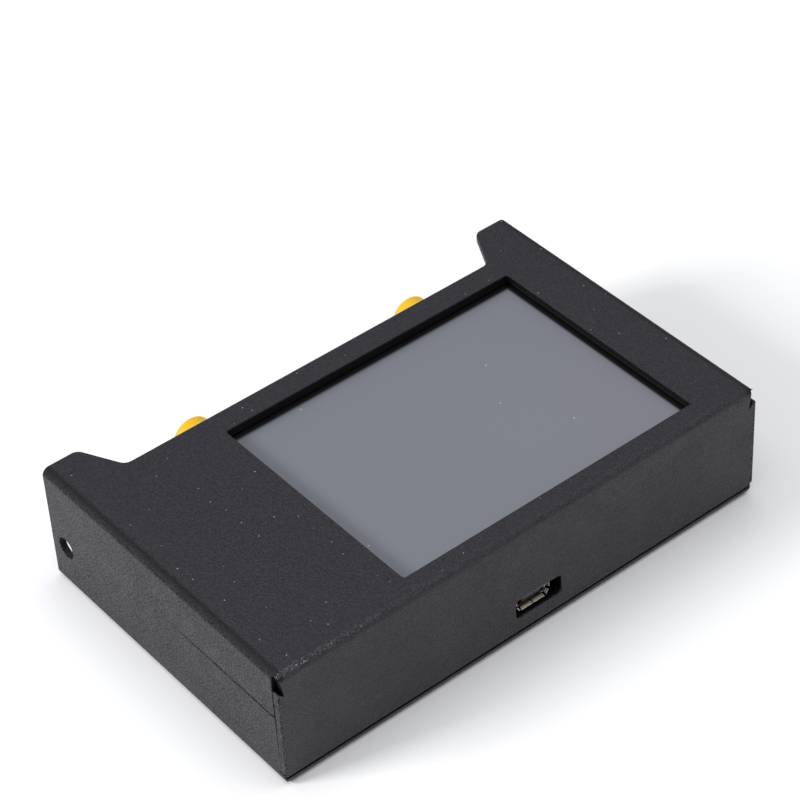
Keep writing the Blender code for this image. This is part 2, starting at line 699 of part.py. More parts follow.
def make_usb():
    """Tinned socket shell with flared lips, and the insulator with its tongue."""
    back = USB_MOUTH + USB_LENGTH
    rings = ((back, 0.0), (USB_MOUTH + USB_LIP, 0.0), (USB_MOUTH, USB_FLARE))
    bm = bmesh.new()
    loops = []
    for y, grow in rings:
        loops.append([bm.verts.new((x, y, z)) for x, z in usb_outline(grow)])
    for near, far in zip(loops, loops[1:]):
        for i in range(len(near)):
            j = (i + 1) % len(near)
            bm.faces.new((near[i], near[j], far[j], far[i]))
    bmesh.ops.recalc_face_normals(bm, faces=bm.faces)
    shell = add_part("usb_shell", finish_mesh(bm, "usb_shell"), TIN)
    wall = shell.modifiers.new("tin", "SOLIDIFY")
    wall.thickness = USB_TIN
    wall.offset = -1
    wall.use_even_offset = True

    top = USB_TOP - USB_TIN - GAP
    half = TONGUE_SIZE[0] / 2 + GAP
    block_front = back - 1.2 * MM
    block = span_box(
        "usb_insulator", (USB_X - half, block_front, top - 1.1 * MM),
        (USB_X + half, back, top), PLASTIC_BLACK,
    )
    spot = (USB_X, block_front + 0.5 * MM - TONGUE_SIZE[1] / 2, top - 0.5 * MM)
    tongue = add_cutter("usb_tongue", box_mesh("usb_tongue", TONGUE_SIZE), spot)
    boolean(block, tongue, "UNION")


# ---------------------------------------------------------------- coaxial ports


ALONG_Y = (-math.pi / 2, 0, 0)  # turns a piece's +Z to +Y


def make_port(side, x):
    """One coaxial connector, what clamps it to the rear panel, and its dust cap."""
    place = (x, 0, PORT_HEIGHT)
    flange_rear = REAR_PANEL_INNER - GAP
    contact_end = PORT_END - PORT_MOUTH_DEPTH
    edge = 0.3 * MM
    barrel_front = PORT_FLANGE_FRONT + 0.5 * MM
    profile = [
        (PORT_BORE, contact_end), (PORT_MOUTH_BORE, contact_end), (PORT_MOUTH_BORE, PORT_END),
        (PORT_THREAD_RADIUS - edge, PORT_END), (PORT_THREAD_RADIUS, PORT_END - edge),
        (PORT_THREAD_RADIUS, barrel_front), (PORT_BORE, barrel_front),
    ]
    body = turned("port_body_" + side, profile, GOLD, place, ALONG_Y)
    flange_loops = [
        rounded_rectangle(PORT_FLANGE, PORT_FLANGE, 0.5 * MM), circle(PORT_BORE + 0.55 * MM)
    ]
    flange = add_cutter(
        "flange_" + side, plate_mesh("flange", flange_loops, flange_rear - PORT_FLANGE_FRONT),
        (x, (PORT_FLANGE_FRONT + flange_rear) / 2, PORT_HEIGHT), (math.pi / 2, 0, 0),
    )
    boolean(body, flange, "UNION")
    leg_top = BOARD_TOP - BOARD_THICK - GAP
    leg_bottom = PORT_HEIGHT - PORT_FLANGE / 2 + 0.1 * MM
    leg_size = (1.0 * MM, 4.5 * MM, leg_top - leg_bottom)
    for index, offset in enumerate((-PORT_LEG_OFFSET, PORT_LEG_OFFSET)):
        spot = (x + offset, PORT_FLANGE_FRONT - 1.9 * MM, leg_top - leg_size[2] / 2)
        leg = add_cutter(f"leg_{side}_{index}", box_mesh("leg", leg_size), spot)
        boolean(body, leg, "UNION")

    bore = PORT_BORE - GAP
    front = PORT_FLANGE_FRONT + GAP
    profile = [
        (INSULATOR_BORE, contact_end), (bore, contact_end), (bore, front), (INSULATOR_BORE, front),
    ]
    turned("port_insulator_" + side, profile, PTFE, place, ALONG_Y, SMALL_ROUND)
    tip = contact_end - 0.1 * MM
    bore_end = tip - 1.9 * MM
    tail_end = PORT_FLANGE_FRONT - 3.0 * MM
    profile = [
        (0, bore_end), (CONTACT_BORE, bore_end), (CONTACT_BORE, tip), (CONTACT_RADIUS, tip),
        (CONTACT_RADIUS, PORT_FLANGE_FRONT), (CONTACT_TAIL, PORT_FLANGE_FRONT),
        (CONTACT_TAIL, tail_end), (0, tail_end),
    ]
    turned("port_contact_" + side, profile, GOLD, place, ALONG_Y, SMALL_ROUND)
    bore_loop = circle(PORT_THREAD_RADIUS + GAP)
    washer_front = REAR_PANEL_OUTER + GAP
    washer = plate_mesh("washer", [circle(WASHER_RADIUS), bore_loop], WASHER_THICK)
    spot = (x, washer_front + WASHER_THICK / 2, PORT_HEIGHT)
    add_part("port_washer_" + side, washer, GOLD, spot, (math.pi / 2, 0, 0))
    nut_front = washer_front + WASHER_THICK + GAP
    nut = plate_mesh("nut", [hexagon(NUT_FLATS), bore_loop], NUT_THICK)
    spot = (x, nut_front + NUT_THICK / 2, PORT_HEIGHT)
    add_part("port_nut_" + side, nut, GOLD, spot, (math.pi / 2, 0, 0))
    make_dust_cap(side, place, nut_front + NUT_THICK + GAP)


def make_dust_cap(side, place, start):
    """A push-on plastic cap, open towards the case."""
    edge = 0.6 * MM
    profile = [
        (0, CAP_END), (CAP_RADIUS - edge, CAP_END), (CAP_RADIUS, CAP_END - edge),
        (CAP_RADIUS, start), (CAP_WALL_INNER, start), (CAP_WALL_INNER, PORT_END + GAP),
        (0, PORT_END + GAP),
    ]
    turned("dust_cap_" + side, profile, CAP_YELLOW, place, ALONG_Y)


# ---------------------------------------------------------------- keys and switch


def make_key(name, x):
    """A push key through the rear panel and the switch that it presses."""
    collar_rear = REAR_PANEL_INNER - GAP
    collar_front = collar_rear - 0.6 * MM
    switch_rear = collar_front - 0.8 * MM
    plunger_front = switch_rear - 0.5 * MM
    edge = 0.3 * MM
    profile = [
        (0, KEY_END), (KEY_RADIUS - edge, KEY_END), (KEY_RADIUS, KEY_END - edge),
        (KEY_RADIUS, collar_rear), (KEY_COLLAR, collar_rear), (KEY_COLLAR, collar_front),
        (KEY_PLUNGER, collar_front), (KEY_PLUNGER, plunger_front), (0, plunger_front),
    ]
    turned("key_" + name, profile, KEY_PLASTIC, (x, 0, KEY_HEIGHT), ALONG_Y, SMALL_ROUND)
    low = (x - KEY_SWITCH_HALF_WIDTH, switch_rear - KEY_SWITCH_DEPTH, BOARD_TOP + GAP)
    high = (x + KEY_SWITCH_HALF_WIDTH, switch_rear, KEY_HEIGHT + 2.2 * MM)
    switch = span_box("key_switch_" + name, low, high, PLASTIC_BLACK)
    depth = 1.2 * MM
    bore = rod_mesh("plunger_bore", KEY_PLUNGER + GAP, 2 * depth, SMALL_ROUND)
    spot = (x, switch_rear, KEY_HEIGHT)
    boolean(switch, add_cutter("plunger_bore_" + name, bore, spot, ALONG_Y), "DIFFERENCE")


def make_power_switch():
    """The slide switch's tin body with a channel, and the knob that runs in it."""
    middle = SLIDER_X + SLIDER_TRAVEL / 2
    rear = REAR_PANEL_INNER - GAP
    low = (middle - SWITCH_HALF_WIDTH, rear - SWITCH_DEPTH, BOARD_TOP + GAP)
    high = (middle + SWITCH_HALF_WIDTH, rear, SLIDER_HEIGHT + SLIDER_HALF_THICK + MM)
    body = span_box("power_switch_body", low, high, TIN)
    half = (SLIDER_WIDTH + SLIDER_TRAVEL) / 2 + GAP
    knob_front = rear - 2.3 * MM
    cut_box(
        body, "slider_channel",
        (middle - half, knob_front - GAP, SLIDER_HEIGHT - SLIDER_HALF_THICK - GAP),
        (middle + half, rear + MM, SLIDER_HEIGHT + SLIDER_HALF_THICK + GAP),
    )
    span_box(
        "power_slider",
        (SLIDER_X - SLIDER_WIDTH / 2, knob_front, SLIDER_HEIGHT - SLIDER_HALF_THICK),
        (SLIDER_X + SLIDER_WIDTH / 2, REAR_PANEL_OUTER + 1.6 * MM, SLIDER_HEIGHT + SLIDER_HALF_THICK),
        PLASTIC_BLACK,
    )


clear_scene()
PARTS = make_collection("vector_network_analyzer")
CUTTERS = make_collection("cutters")

COAT = material("black_powder_coat", (0.040, 0.039, 0.044), 0.62)
SCREEN_GLASS = material("screen_film", (0.200, 0.210, 0.240), 0.35)
PANEL_GREY = material("lcd_glass", (0.160, 0.170, 0.190), 0.25)
TIN = material("tinned_steel", (0.550, 0.530, 0.500), 0.35, 1.0)
STEEL = material("zinc_steel", (0.480, 0.470, 0.460), 0.40, 1.0)
BRASS = material("brass", (0.680, 0.520, 0.250), 0.35, 1.0)
GOLD = material("gold_plate", (0.830, 0.620, 0.250), 0.25, 1.0)
PTFE = material("ptfe", (0.850, 0.850, 0.830), 0.50)
FOAM = material("black_foam", (0.015, 0.015, 0.016), 0.90)
FOIL = material("battery_foil", (0.600, 0.600, 0.590), 0.35, 0.8)
BOARD_GREEN = material("solder_mask", (0.010, 0.090, 0.035), 0.40)
CHIP_BLACK = material("chip_epoxy", (0.018, 0.018, 0.020), 0.55)
PLASTIC_BLACK = material("black_nylon", (0.020, 0.020, 0.021), 0.50)
PLASTIC_WHITE = material("white_nylon", (0.750, 0.740, 0.700), 0.45)
KEY_PLASTIC = material("key_plastic", (0.025, 0.025, 0.027), 0.45)
CAP_YELLOW = material("yellow_polyethylene", (0.900, 0.600, 0.035), 0.40)
FLEX_AMBER = material("polyimide_film", (0.450, 0.200, 0.030), 0.40)
LEAD_RED = material("red_pvc", (0.500, 0.015, 0.012), 0.45)
LEAD_BLACK = material("black_pvc", (0.018, 0.018, 0.018), 0.45)

make_case()
make_rear_panel()
make_display()
make_main_board()
make_chips()
make_shield_can("shield_can_left", PORT_X[0])
make_shield_can("shield_can_right", PORT_X[1])
make_lower_hardware()
make_battery()
make_usb()
for port_side, port_x in zip(("left", "right"), PORT_X):
    make_port(port_side, port_x)
for key_name, key_x in zip(("left", "middle", "right"), KEY_X):
    make_key(key_name, key_x)
make_power_switch()
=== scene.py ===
"""The finished look of a handheld vector network analyzer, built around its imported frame.

Metres, +Z up. The frame's origin is the centre of the case's bottom face, X runs along the
front wall, and +Y points at the wall with the two coaxial ports.
"""
import math

import bmesh
import bpy
from bpy.props import FloatProperty, FloatVectorProperty, PointerProperty
from mathutils import Matrix, Vector


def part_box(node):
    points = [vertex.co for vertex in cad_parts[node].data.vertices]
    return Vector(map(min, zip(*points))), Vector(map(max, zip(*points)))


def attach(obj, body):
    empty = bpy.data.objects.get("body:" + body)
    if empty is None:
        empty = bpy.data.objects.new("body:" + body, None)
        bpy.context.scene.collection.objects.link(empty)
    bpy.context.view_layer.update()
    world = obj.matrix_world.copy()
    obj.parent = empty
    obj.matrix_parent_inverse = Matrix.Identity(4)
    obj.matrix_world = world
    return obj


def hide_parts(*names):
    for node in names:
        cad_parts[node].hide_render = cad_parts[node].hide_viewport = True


bl_info = {
    "name": "Vector Network Analyzer",
    "version": (1, 0, 0),
    "blender": (4, 5, 0),
    "location": "View3D > Sidebar > Analyzer",
    "description": "Builds the finished pieces of a handheld vector network analyzer",
    "category": "Add Mesh",
}

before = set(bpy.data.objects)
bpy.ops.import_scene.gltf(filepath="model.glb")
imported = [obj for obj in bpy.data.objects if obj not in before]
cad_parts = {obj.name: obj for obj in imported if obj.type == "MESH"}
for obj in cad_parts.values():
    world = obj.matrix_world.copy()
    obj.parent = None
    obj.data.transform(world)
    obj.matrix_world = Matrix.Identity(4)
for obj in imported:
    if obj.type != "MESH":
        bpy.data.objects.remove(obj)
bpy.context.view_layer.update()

MM = 0.001
TINY = 0.001 * MM
NEAR = 10 * TINY  # two places this close are the same
ROUND = 48  # sides of a round piece

X = Vector((1, 0, 0))
Y = Vector((0, 1, 0))
Z = Vector((0, 0, 1))
SIDES = ("left", "right")
CORNERS = ("front_left", "rear_left", "front_right", "rear_right")
KEYS = ("left", "middle", "right")

# The case, from its packed box
CASE_LOW, CASE_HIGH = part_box("case_shell")
FRONT_STEP = 0.4 * MM  # how far the front wall's right end stands past the side flange
LEFT_STEP = 0.1 * MM  # the left end was folded almost flush
HALF_WIDTH = CASE_HIGH.x - FRONT_STEP
FRONT = CASE_LOW.y
TOP = CASE_HIGH.z
EAR_END = CASE_HIGH.y
REAR = EAR_END - 8.0 * MM
EAR_TIP = HALF_WIDTH - 6.83 * MM  # where an ear's slanted side starts and ends
EAR_ROOT = EAR_TIP - 4.1 * MM
EAR_HOLE = (4.0 * MM, 8.8 * MM, 1.9 * MM)  # behind the plate's edge, above the floor, radius
WALL_END_LOW = 2.3 * MM  # the heights between which the front wall's ends show
WALL_END_HIGH = 20.2 * MM
NOTCH_HIGH = 22.85 * MM
NOTCH_TOP_INSET = 0.55 * MM
NOTCH_FOOT = (1.05 * MM, 1.1 * MM)  # inward from the wall's end, below its top
SEAM_HEIGHT = 13.97 * MM
SEAM_CLOSED = 4.0 * MM  # the seam's gap narrows back to here
FLANGE_SETBACK = 1.62 * MM  # from the front face back to the side flanges' front edges
SLOT_LOW = 0.55 * MM  # the open slot at each lower front corner
SLOT_HIGH = 2.05 * MM
SLOT_WIDTH = 0.5 * MM
CORNER_REACH = 60 * MM  # the slot's cuts stay on faces no longer than this
WINDOW_BACK = -0.3 * MM  # the window's centre along Y
SOCKET_HOLE = (2.0 * MM, 6.65 * MM)  # the charging slot's centre, across and up
SOCKET_HOLE_SIZE = (9.5 * MM, 3.8 * MM)
PORT_HEIGHT = 11.2 * MM
PORT_RADIUS = 3.15 * MM
PORT_BORE = 2.05 * MM
PORT_FLANGE_FRONT = 23.2 * MM
NUT_BORE = 3.45 * MM
CAP_BORE = 3.45 * MM
KEY_COLLAR_REAR = 25.3 * MM
SCREW_HOLE = 2.8 * MM
SCREW_SHANK = 1.25 * MM


# ---------------------------------------------------------------- colours and nodes


def linear(code):
    """Linear RGBA from an sRGB hex code."""
    channels = [int(code[i:i + 2], 16) / 255 for i in (1, 3, 5)]
    curve = [c / 12.92 if c <= 0.04045 else ((c + 0.055) / 1.055) ** 2.4 for c in channels]
    return (*curve, 1.0)


def per(size):
    """A texture scale whose cells are this many millimetres wide on Object coordinates."""
    return 1.0 / (size * MM)


def add_node(tree, kind, inputs=None, **settings):
    """Add one node, set its properties, and fill or link its inputs by name or number."""
    node = tree.nodes.new(kind)
    for name, value in settings.items():
        setattr(node, name, value)
    for key, value in (inputs or {}).items():
        if isinstance(value, bpy.types.NodeSocket):
            tree.links.new(value, node.inputs[key])
        else:
            node.inputs[key].default_value = value
    return node


def ramp(tree, value, start, end, low=0.0, high=1.0):
    """A value carried from one range to another, held at both ends."""
    inputs = {"Value": value, "From Min": start, "From Max": end, "To Min": low, "To Max": high}
    return add_node(tree, "ShaderNodeMapRange", inputs).outputs["Result"]


def calculate(tree, operation, first, second=0.0):
    return add_node(tree, "ShaderNodeMath", {0: first, 1: second}, operation=operation).outputs[0]


def product(tree, first, *others):
    for other in others:
        first = calculate(tree, "MULTIPLY", first, other)
    return first


def blend(tree, share, low, high):
    return add_node(tree, "ShaderNodeMix", {0: share, 6: low, 7: high}, data_type="RGBA").outputs[2]


def split(tree, vector):
    return add_node(tree, "ShaderNodeSeparateXYZ", {"Vector": vector}).outputs


def noise(tree, place, size, detail, **others):
    """Noise whose blobs are this many millimetres wide."""
    inputs = {"Vector": place, "Scale": per(size), "Detail": detail, **others}
    return add_node(tree, "ShaderNodeTexNoise", inputs).outputs["Fac"]


def cells(tree, place, size, inputs=None, **settings):
    """Scattered cells this many millimetres apart."""
    every = {"Vector": place, "Scale": per(size), **(inputs or {})}
    return add_node(tree, "ShaderNodeTexVoronoi", every, **settings).outputs


def stripes(tree, place, radian, direction):
    """Parallel waves, this many millimetres to a radian; the texture draws 20 radians to a unit."""
    inputs = {"Vector": place, "Scale": per(radian) / 20}
    return add_node(tree, "ShaderNodeTexWave", inputs, bands_direction=direction).outputs["Fac"]


def start_material(name, **sockets):
    """A Principled material, its tree, its shader and the piece's own Object coordinates."""
    material = bpy.data.materials.new(name)
    material.use_nodes = True
    tree = material.node_tree
    shader = tree.nodes["Principled BSDF"]
    for socket, value in sockets.items():
        shader.inputs[socket.replace("_", " ")].default_value = value
    place = add_node(tree, "ShaderNodeTexCoord").outputs["Object"]
    return material, tree, shader, place


def set_colour(tree, shader, share, low, high):
    """Base colour between two colours, by a share from a pattern."""
    tree.links.new(blend(tree, share, low, high), shader.inputs["Base Color"])


def set_bump(tree, shader, height, depth):
    """Relief of a depth in millimetres from a height pattern."""
    bump = add_node(tree, "ShaderNodeBump", {"Strength": 1.0, "Distance": depth * MM, "Height": height})
    tree.links.new(bump.outputs["Normal"], shader.inputs["Normal"])


def set_roughness(tree, shader, pattern, low, high):
    tree.links.new(ramp(tree, pattern, 0.3, 0.7, low, high), shader.inputs["Roughness"])


# ---------------------------------------------------------------- finishes of the case and screen


def scatter_dust(tree, place):
    """Specks 0.1 to 0.3 mm wide, one to a cell of 4.2 mm in plan.

    Only some are kept, and each has its own strength.
    """
    spacing, radius, kept = 4.2, 0.13, 0.42
    spots = cells(tree, place, spacing, voronoi_dimensions="2D")
    drawn = add_node(tree, "ShaderNodeSeparateColor", {0: spots["Color"]}).outputs
    near = ramp(tree, spots["Distance"], radius / spacing, 0.45 * radius / spacing)
    chosen = calculate(tree, "LESS_THAN", drawn[0], kept)
    return product(tree, near, chosen, ramp(tree, drawn[2], 0.0, 1.0, 0.25, 1.0))


def shade_mask_inside_sheet(tree, axes, outward, fold):
    """The mask of the painted shade: 1 on cut edges and on the inside of the case, and 0 on its outer faces
    and round its folds.
    """
    skin, depth = 0.15 * MM, 0.25 * MM
    share = product(
        tree,
        ramp(tree, outward, HALF_WIDTH - skin, HALF_WIDTH - depth),
        ramp(tree, axes["Y"], FRONT + skin, FRONT + depth),
        calculate(tree, "LESS_THAN", axes["Y"], REAR - 1.4 * MM),
        ramp(tree, axes["Z"], TOP - skin, TOP - depth),
        calculate(tree, "GREATER_THAN", axes["Z"], 0.2 * MM),
    )
    # A rounded fold's outside lies inward of both its faces, and is told by its radius
    for across, face in ((outward, HALF_WIDTH), (calculate(tree, "MULTIPLY", axes["Y"], -1.0), -FRONT)):
        for up, level in ((axes["Z"], TOP), (calculate(tree, "MULTIPLY", axes["Z"], -1.0), 0.0)):
            out = calculate(tree, "MAXIMUM", calculate(tree, "SUBTRACT", across, face - fold))
            above = calculate(tree, "MAXIMUM", calculate(tree, "SUBTRACT", up, level - fold))
            squares = calculate(tree, "ADD", product(tree, out, out), product(tree, above, above))
            radius = calculate(tree, "SQRT", squares)
            share = product(tree, share, ramp(tree, radius, fold - 0.12 * MM, fold - 0.22 * MM))
    return share


def textured_powder_coat():
    """Polyester powder baked on steel: a sand-like grain that breaks every reflection into a soft sheen."""
    settings = bpy.context.scene.analyzer_case
    material, tree, shader, place = start_material("textured_black_powder_coat", IOR=1.5)
    grain = noise(tree, place, settings.coat_grain / MM, 2.0)
    axes = split(tree, place)
    outward = calculate(tree, "ABSOLUTE", axes["X"])
    # Painted light and shade: the grain's contrast is raised on the side flanges, as a raking light would
    # light its crests and shade its valleys
    on_flange = ramp(tree, outward, HALF_WIDTH - 0.5 * MM, HALF_WIDTH - 0.1 * MM)
    raking_light_contrast = ramp(tree, on_flange, 0.0, 1.0, 0.28, 1.0)
    crests = blend(tree, raking_light_contrast, linear("#bcbcbc"), ramp(tree, grain, 0.44, 0.58))
    coat = blend(tree, crests, linear("#09080b"), (*settings.coat_colour, 1.0))

    # Painted shade on the side folds: the coat is darkened there and keeps less sheen
    shaded_side_fold = product(
        tree,
        ramp(tree, outward, HALF_WIDTH - 1.7 * MM, HALF_WIDTH - 1.1 * MM),
        ramp(tree, axes["Z"], TOP - 1.25 * MM, TOP - 0.85 * MM),
    )
    coat = blend(tree, product(tree, shaded_side_fold, 0.75), coat, linear("#050506"))

    # The front fold's sharpest crests are pale, most at its left end: partly rubbed wear, partly a painted
    # highlight
    rubbed_and_highlit = product(
        tree,
        ramp(tree, axes["Z"], TOP - 0.6 * MM, TOP - 0.35 * MM),
        ramp(tree, axes["Y"], FRONT + 1.3 * MM, FRONT + 0.9 * MM),
        ramp(tree, axes["X"], -HALF_WIDTH + 1.0 * MM, -HALF_WIDTH + 22.0 * MM, 1.0, 0.15),
        ramp(tree, noise(tree, place, 0.22, 1.0), 0.58, 0.68),
    )
    coat = blend(tree, rubbed_and_highlit, coat, linear("#8f8e93"))

    # Dust lies on what faces up
    facing = add_node(tree, "ShaderNodeNewGeometry").outputs["Normal"]
    level = calculate(tree, "GREATER_THAN", split(tree, facing)["Z"], 0.9)
    coat = blend(tree, product(tree, scatter_dust(tree, place), level), coat, linear("#b5b3ae"))

    # Painted shade: cut edges and the inside of the case are painted near black, and their sheen is lowered
    inside = shade_mask_inside_sheet(tree, axes, outward, settings.fold)
    set_colour(tree, shader, product(tree, inside, 0.8), coat, linear("#030303"))
    # Painted shade in the sheen: it is lowered in the grain's valleys, which the crests round them shade, on
    # the side folds and on the inside
    sheen = product(
        tree,
        ramp(tree, crests, 0.0, 1.0, 0.20, 0.80),
        ramp(tree, shaded_side_fold, 0.0, 1.0, 1.0, 0.55),
        ramp(tree, inside, 0.0, 1.0, 1.0, 0.3),
    )
    tree.links.new(sheen, shader.inputs["Specular IOR Level"])
    # Orange-peel flow of the melted powder, a few millimetres wide
    set_roughness(tree, shader, noise(tree, place, 6.0, 3.0), 0.44, 0.54)
    set_bump(tree, shader, grain, 0.22)
    return material


def screen_touch_film():
    """Hard-coated polyester film over an unlit display: grey, with a satin, faintly milky surface."""
    screen = bpy.context.scene.analyzer_screen
    material, tree, shader, place = start_material(
        "hard_coated_touch_film", IOR=1.57, Coat_Weight=0.25, Coat_Roughness=0.18
    )
    axes = split(tree, place)
    low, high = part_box("touch_panel")
    share = product(tree, noise(tree, place, 45.0, 1.0), ramp(tree, axes["X"], low.x, high.x))
    film = blend(tree, share, (*screen.screen_cool, 1.0), (*screen.screen_warm, 1.0))
    # Dust about 0.2 mm wide
    spots = cells(tree, place, 11.0, voronoi_dimensions="2D")
    drawn = add_node(tree, "ShaderNodeSeparateColor", {0: spots["Color"]}).outputs
    near = ramp(tree, spots["Distance"], 0.014, 0.006)
    speck = product(tree, near, calculate(tree, "GREATER_THAN", drawn[1], 0.75))
    film = blend(tree, speck, film, linear("#d2d2d0"))
    # A black border is printed round the picture area, and the film above it blurs its edge
    right, rear = screen.picture_right, screen.picture_rear
    border = calculate(
        tree, "MAXIMUM",
        ramp(tree, axes["X"], right - 0.25 * MM, right + 0.3 * MM),
        ramp(tree, axes["Y"], rear - 0.3 * MM, rear + 0.35 * MM),
    )
    set_colour(tree, shader, border, film, linear("#09090b"))
    # The anti-glare coat's tooth is about 0.1 mm
    tooth = noise(tree, place, 0.12, 1.0)
    set_roughness(tree, shader, tooth, 0.38, 0.46)
    set_bump(tree, shader, tooth, 0.002)
    return material


def cell_foam():
    """Closed-cell foam strip: matt black with pores about 0.2 mm wide."""
    material, tree, shader, place = start_material("black_cell_foam", Roughness=0.95)
    pores = cells(tree, place, 0.25)["Distance"]
    set_colour(tree, shader, pores, linear("#040404"), linear("#141415"))
    set_bump(tree, shader, pores, 0.08)
    return material


def display_glass():
    """Polarised display glass: dark grey and glossy, with faint columns, drawn 1.1 mm apart."""
    material, tree, shader, place = start_material("polarised_display_glass", Roughness=0.12, IOR=1.52)
    set_colour(tree, shader, stripes(tree, place, 0.18, "X"), linear("#5d6066"), linear("#6d7077"))
    return material


# ---------------------------------------------------------------- finishes of the other pieces


def metal(name, dull, bright, low, high, grain, depth, stretch=(1, 1, 1)):
    """A metal whose tone and gloss follow one noise pattern, stretched along its working marks."""
    material, tree, shader, place = start_material(name, Metallic=1.0)
    along = add_node(tree, "ShaderNodeMapping", {"Vector": place, "Scale": stretch}).outputs["Vector"]
    marks = noise(tree, along, grain, 3.0)
    set_colour(tree, shader, marks, linear(dull), linear(bright))
    set_roughness(tree, shader, marks, low, high)
    set_bump(tree, shader, marks, depth)
    return material


def aluminium_laminate():
    """Pouch laminate: nylon over aluminium foil, satin silver with soft creases a few millimetres apart."""
    material, tree, shader, place = start_material("aluminium_pouch_laminate", Metallic=0.85)
    creases = noise(tree, place, 4.0, 3.0, Distortion=0.6)
    set_colour(tree, shader, creases, linear("#b4b3ae"), linear("#d6d5d0"))
    set_roughness(tree, shader, creases, 0.28, 0.42)
    set_bump(tree, shader, creases, 0.15)
    return material


def moulded(name, dull, bright, low, high, grain, depth, flow=5.0, **sockets):
    """A moulded plastic: slow flow clouds in its colour and a fine mould texture in its surface."""
    material, tree, shader, place = start_material(name, **sockets)
    set_colour(tree, shader, noise(tree, place, flow, 2.0), dull, linear(bright))
    tooth = noise(tree, place, grain, 2.0)
    set_roughness(tree, shader, tooth, low, high)
    set_bump(tree, shader, tooth, depth)
    return material


def plastic(name, dull, *others, **sockets):
    return lambda: moulded(name, linear(dull), *others, **sockets)


def yellow_polyethylene():
    """Soft polyethylene: waxy, saturated yellow that glows a little where light enters its rim."""
    return moulded(
        "soft_yellow_polyethylene", (*bpy.context.scene.analyzer_ports.cap_colour, 1.0), "#ebbd26",
        0.36, 0.46, 0.25, 0.004, flow=3.0, IOR=1.51,
        Subsurface_Weight=0.25, Subsurface_Scale=0.8 * MM, Subsurface_Radius=(1.0, 0.6, 0.1),
    )


def amber_film():
    """Polyimide with copper tracks: amber, with tracks 3 mm apart showing through."""
    material, tree, shader, place = start_material("amber_polyimide_film", Roughness=0.3, IOR=1.7)
    copper = ramp(tree, stripes(tree, place, 0.5, "Y"), 0.45, 0.55)
    set_colour(tree, shader, copper, linear("#8a4a10"), linear("#c07a28"))
    set_bump(tree, shader, copper, 0.02)
    return material


def green_solder_mask():
    """Solder mask over copper: glossy green, lighter where tracks lie under it, in rings 0.5 mm apart."""
    material, tree, shader, place = start_material("green_solder_mask", Roughness=0.3, IOR=1.55)
    nets = cells(
        tree, place, 3.2, {"Randomness": 0.9}, voronoi_dimensions="2D", distance="CHEBYCHEV", feature="F1"
    )
    rings = calculate(tree, "MODULO", nets["Distance"], 0.16)
    tracks = ramp(tree, rings, 0.075, 0.085)
    set_colour(tree, shader, tracks, linear("#0c4a24"), linear("#1c7a3c"))
    set_bump(tree, shader, tracks, 0.03)
    return material


MAKERS = {
    "black_powder_coat": textured_powder_coat,
    "screen_film": screen_touch_film,
    "black_foam": cell_foam,
    "lcd_glass": display_glass,
    "battery_foil": aluminium_laminate,
    "yellow_polyethylene": yellow_polyethylene,
    "polyimide_film": amber_film,
    "solder_mask": green_solder_mask,
    # Tin over rolled steel: warm grey, drawn out along the rolling direction
    "tinned_steel": lambda: metal(
        "bright_tin_plate", "#a9a49c", "#cbc6bd", 0.24, 0.38, 0.5, 0.004, (0.15, 1, 1)
    ),
    # Zinc on a headed screw: bluish grey with a cloudy, half-matt crystal bloom
    "zinc_steel": lambda: metal("clear_zinc_plate", "#8f9094", "#b9bbc0", 0.30, 0.46, 0.7, 0.006),
    # Brass from the lathe: yellow, with fine tool rings about 0.1 mm apart
    "brass": lambda: metal("turned_brass", "#a98a4c", "#d0b06c", 0.22, 0.36, 0.15, 0.004, (1, 1, 4)),
    # Thin gold over nickelled brass: rich yellow, kept bright, with faint tool rings along the port
    "gold_plate": lambda: metal(
        "gold_flashed_brass", "#c9992f", "#eac062", 0.16, 0.27, 0.12, 0.002, (0.4, 3, 0.4)
    ),
    # Turned fluoropolymer: milky white, soft and slightly see-through at its edges
    "ptfe": plastic(
        "white_fluoropolymer", "#e6e5df", "#f4f3ee", 0.42, 0.55, 0.1, 0.003,
        Subsurface_Weight=0.2, Subsurface_Scale=0.5 * MM,
    ),
    # Glass-filled nylon: near black with a fine spark texture
    "black_nylon": plastic("glass_filled_black_nylon", "#101011", "#1b1b1d", 0.42, 0.60, 0.12, 0.006),
    # Natural nylon: warm white with a soft gloss
    "white_nylon": plastic("natural_nylon", "#d9d5c8", "#e9e5da", 0.36, 0.48, 0.2, 0.004),
    # Moulded key: smooth black with the grain worn glossy by fingertips
    "key_plastic": plastic("moulded_black_key", "#0e0e0f", "#191a1c", 0.30, 0.44, 0.15, 0.003),
    # Transfer-moulded epoxy: matt charcoal with a sandy mould finish
    "chip_epoxy": plastic("moulding_epoxy", "#151517", "#222225", 0.50, 0.66, 0.08, 0.008),
    # Extruded vinyl jackets: glossy with faint draw lines
    "red_pvc": plastic("red_vinyl_jacket", "#a3110e", "#c31a14", 0.28, 0.42, 0.5, 0.004),
    "black_pvc": plastic("black_vinyl_jacket", "#0c0c0d", "#17171a", 0.28, 0.42, 0.5, 0.004),
}
FINISHES = {}


def finish(slot):
    """The finish of a material slot, made once and shared by its pieces."""
    if slot not in FINISHES:
        FINISHES[slot] = MAKERS[slot]()
    return FINISHES[slot]


# ---------------------------------------------------------------- mesh helpers


def face_under(bm, point, normal):
    """The flat face with this normal that the point lies on."""
    for face in bm.faces:
        level = abs((point - face.verts[0].co).dot(normal)) < TINY
        if level and face.normal.dot(normal) > 0.99 and bmesh.geometry.intersect_face_point(face, point):
            return face
    raise RuntimeError(f"no flat face under {tuple(point)}")


def slice_faces(bm, faces, point, normal):
    """Cut some faces along one plane."""
    geom = list({part for face in faces for part in (face, *face.edges, *face.verts)})
    bmesh.ops.bisect_plane(bm, geom=geom, dist=TINY / 10, plane_co=point, plane_no=normal)


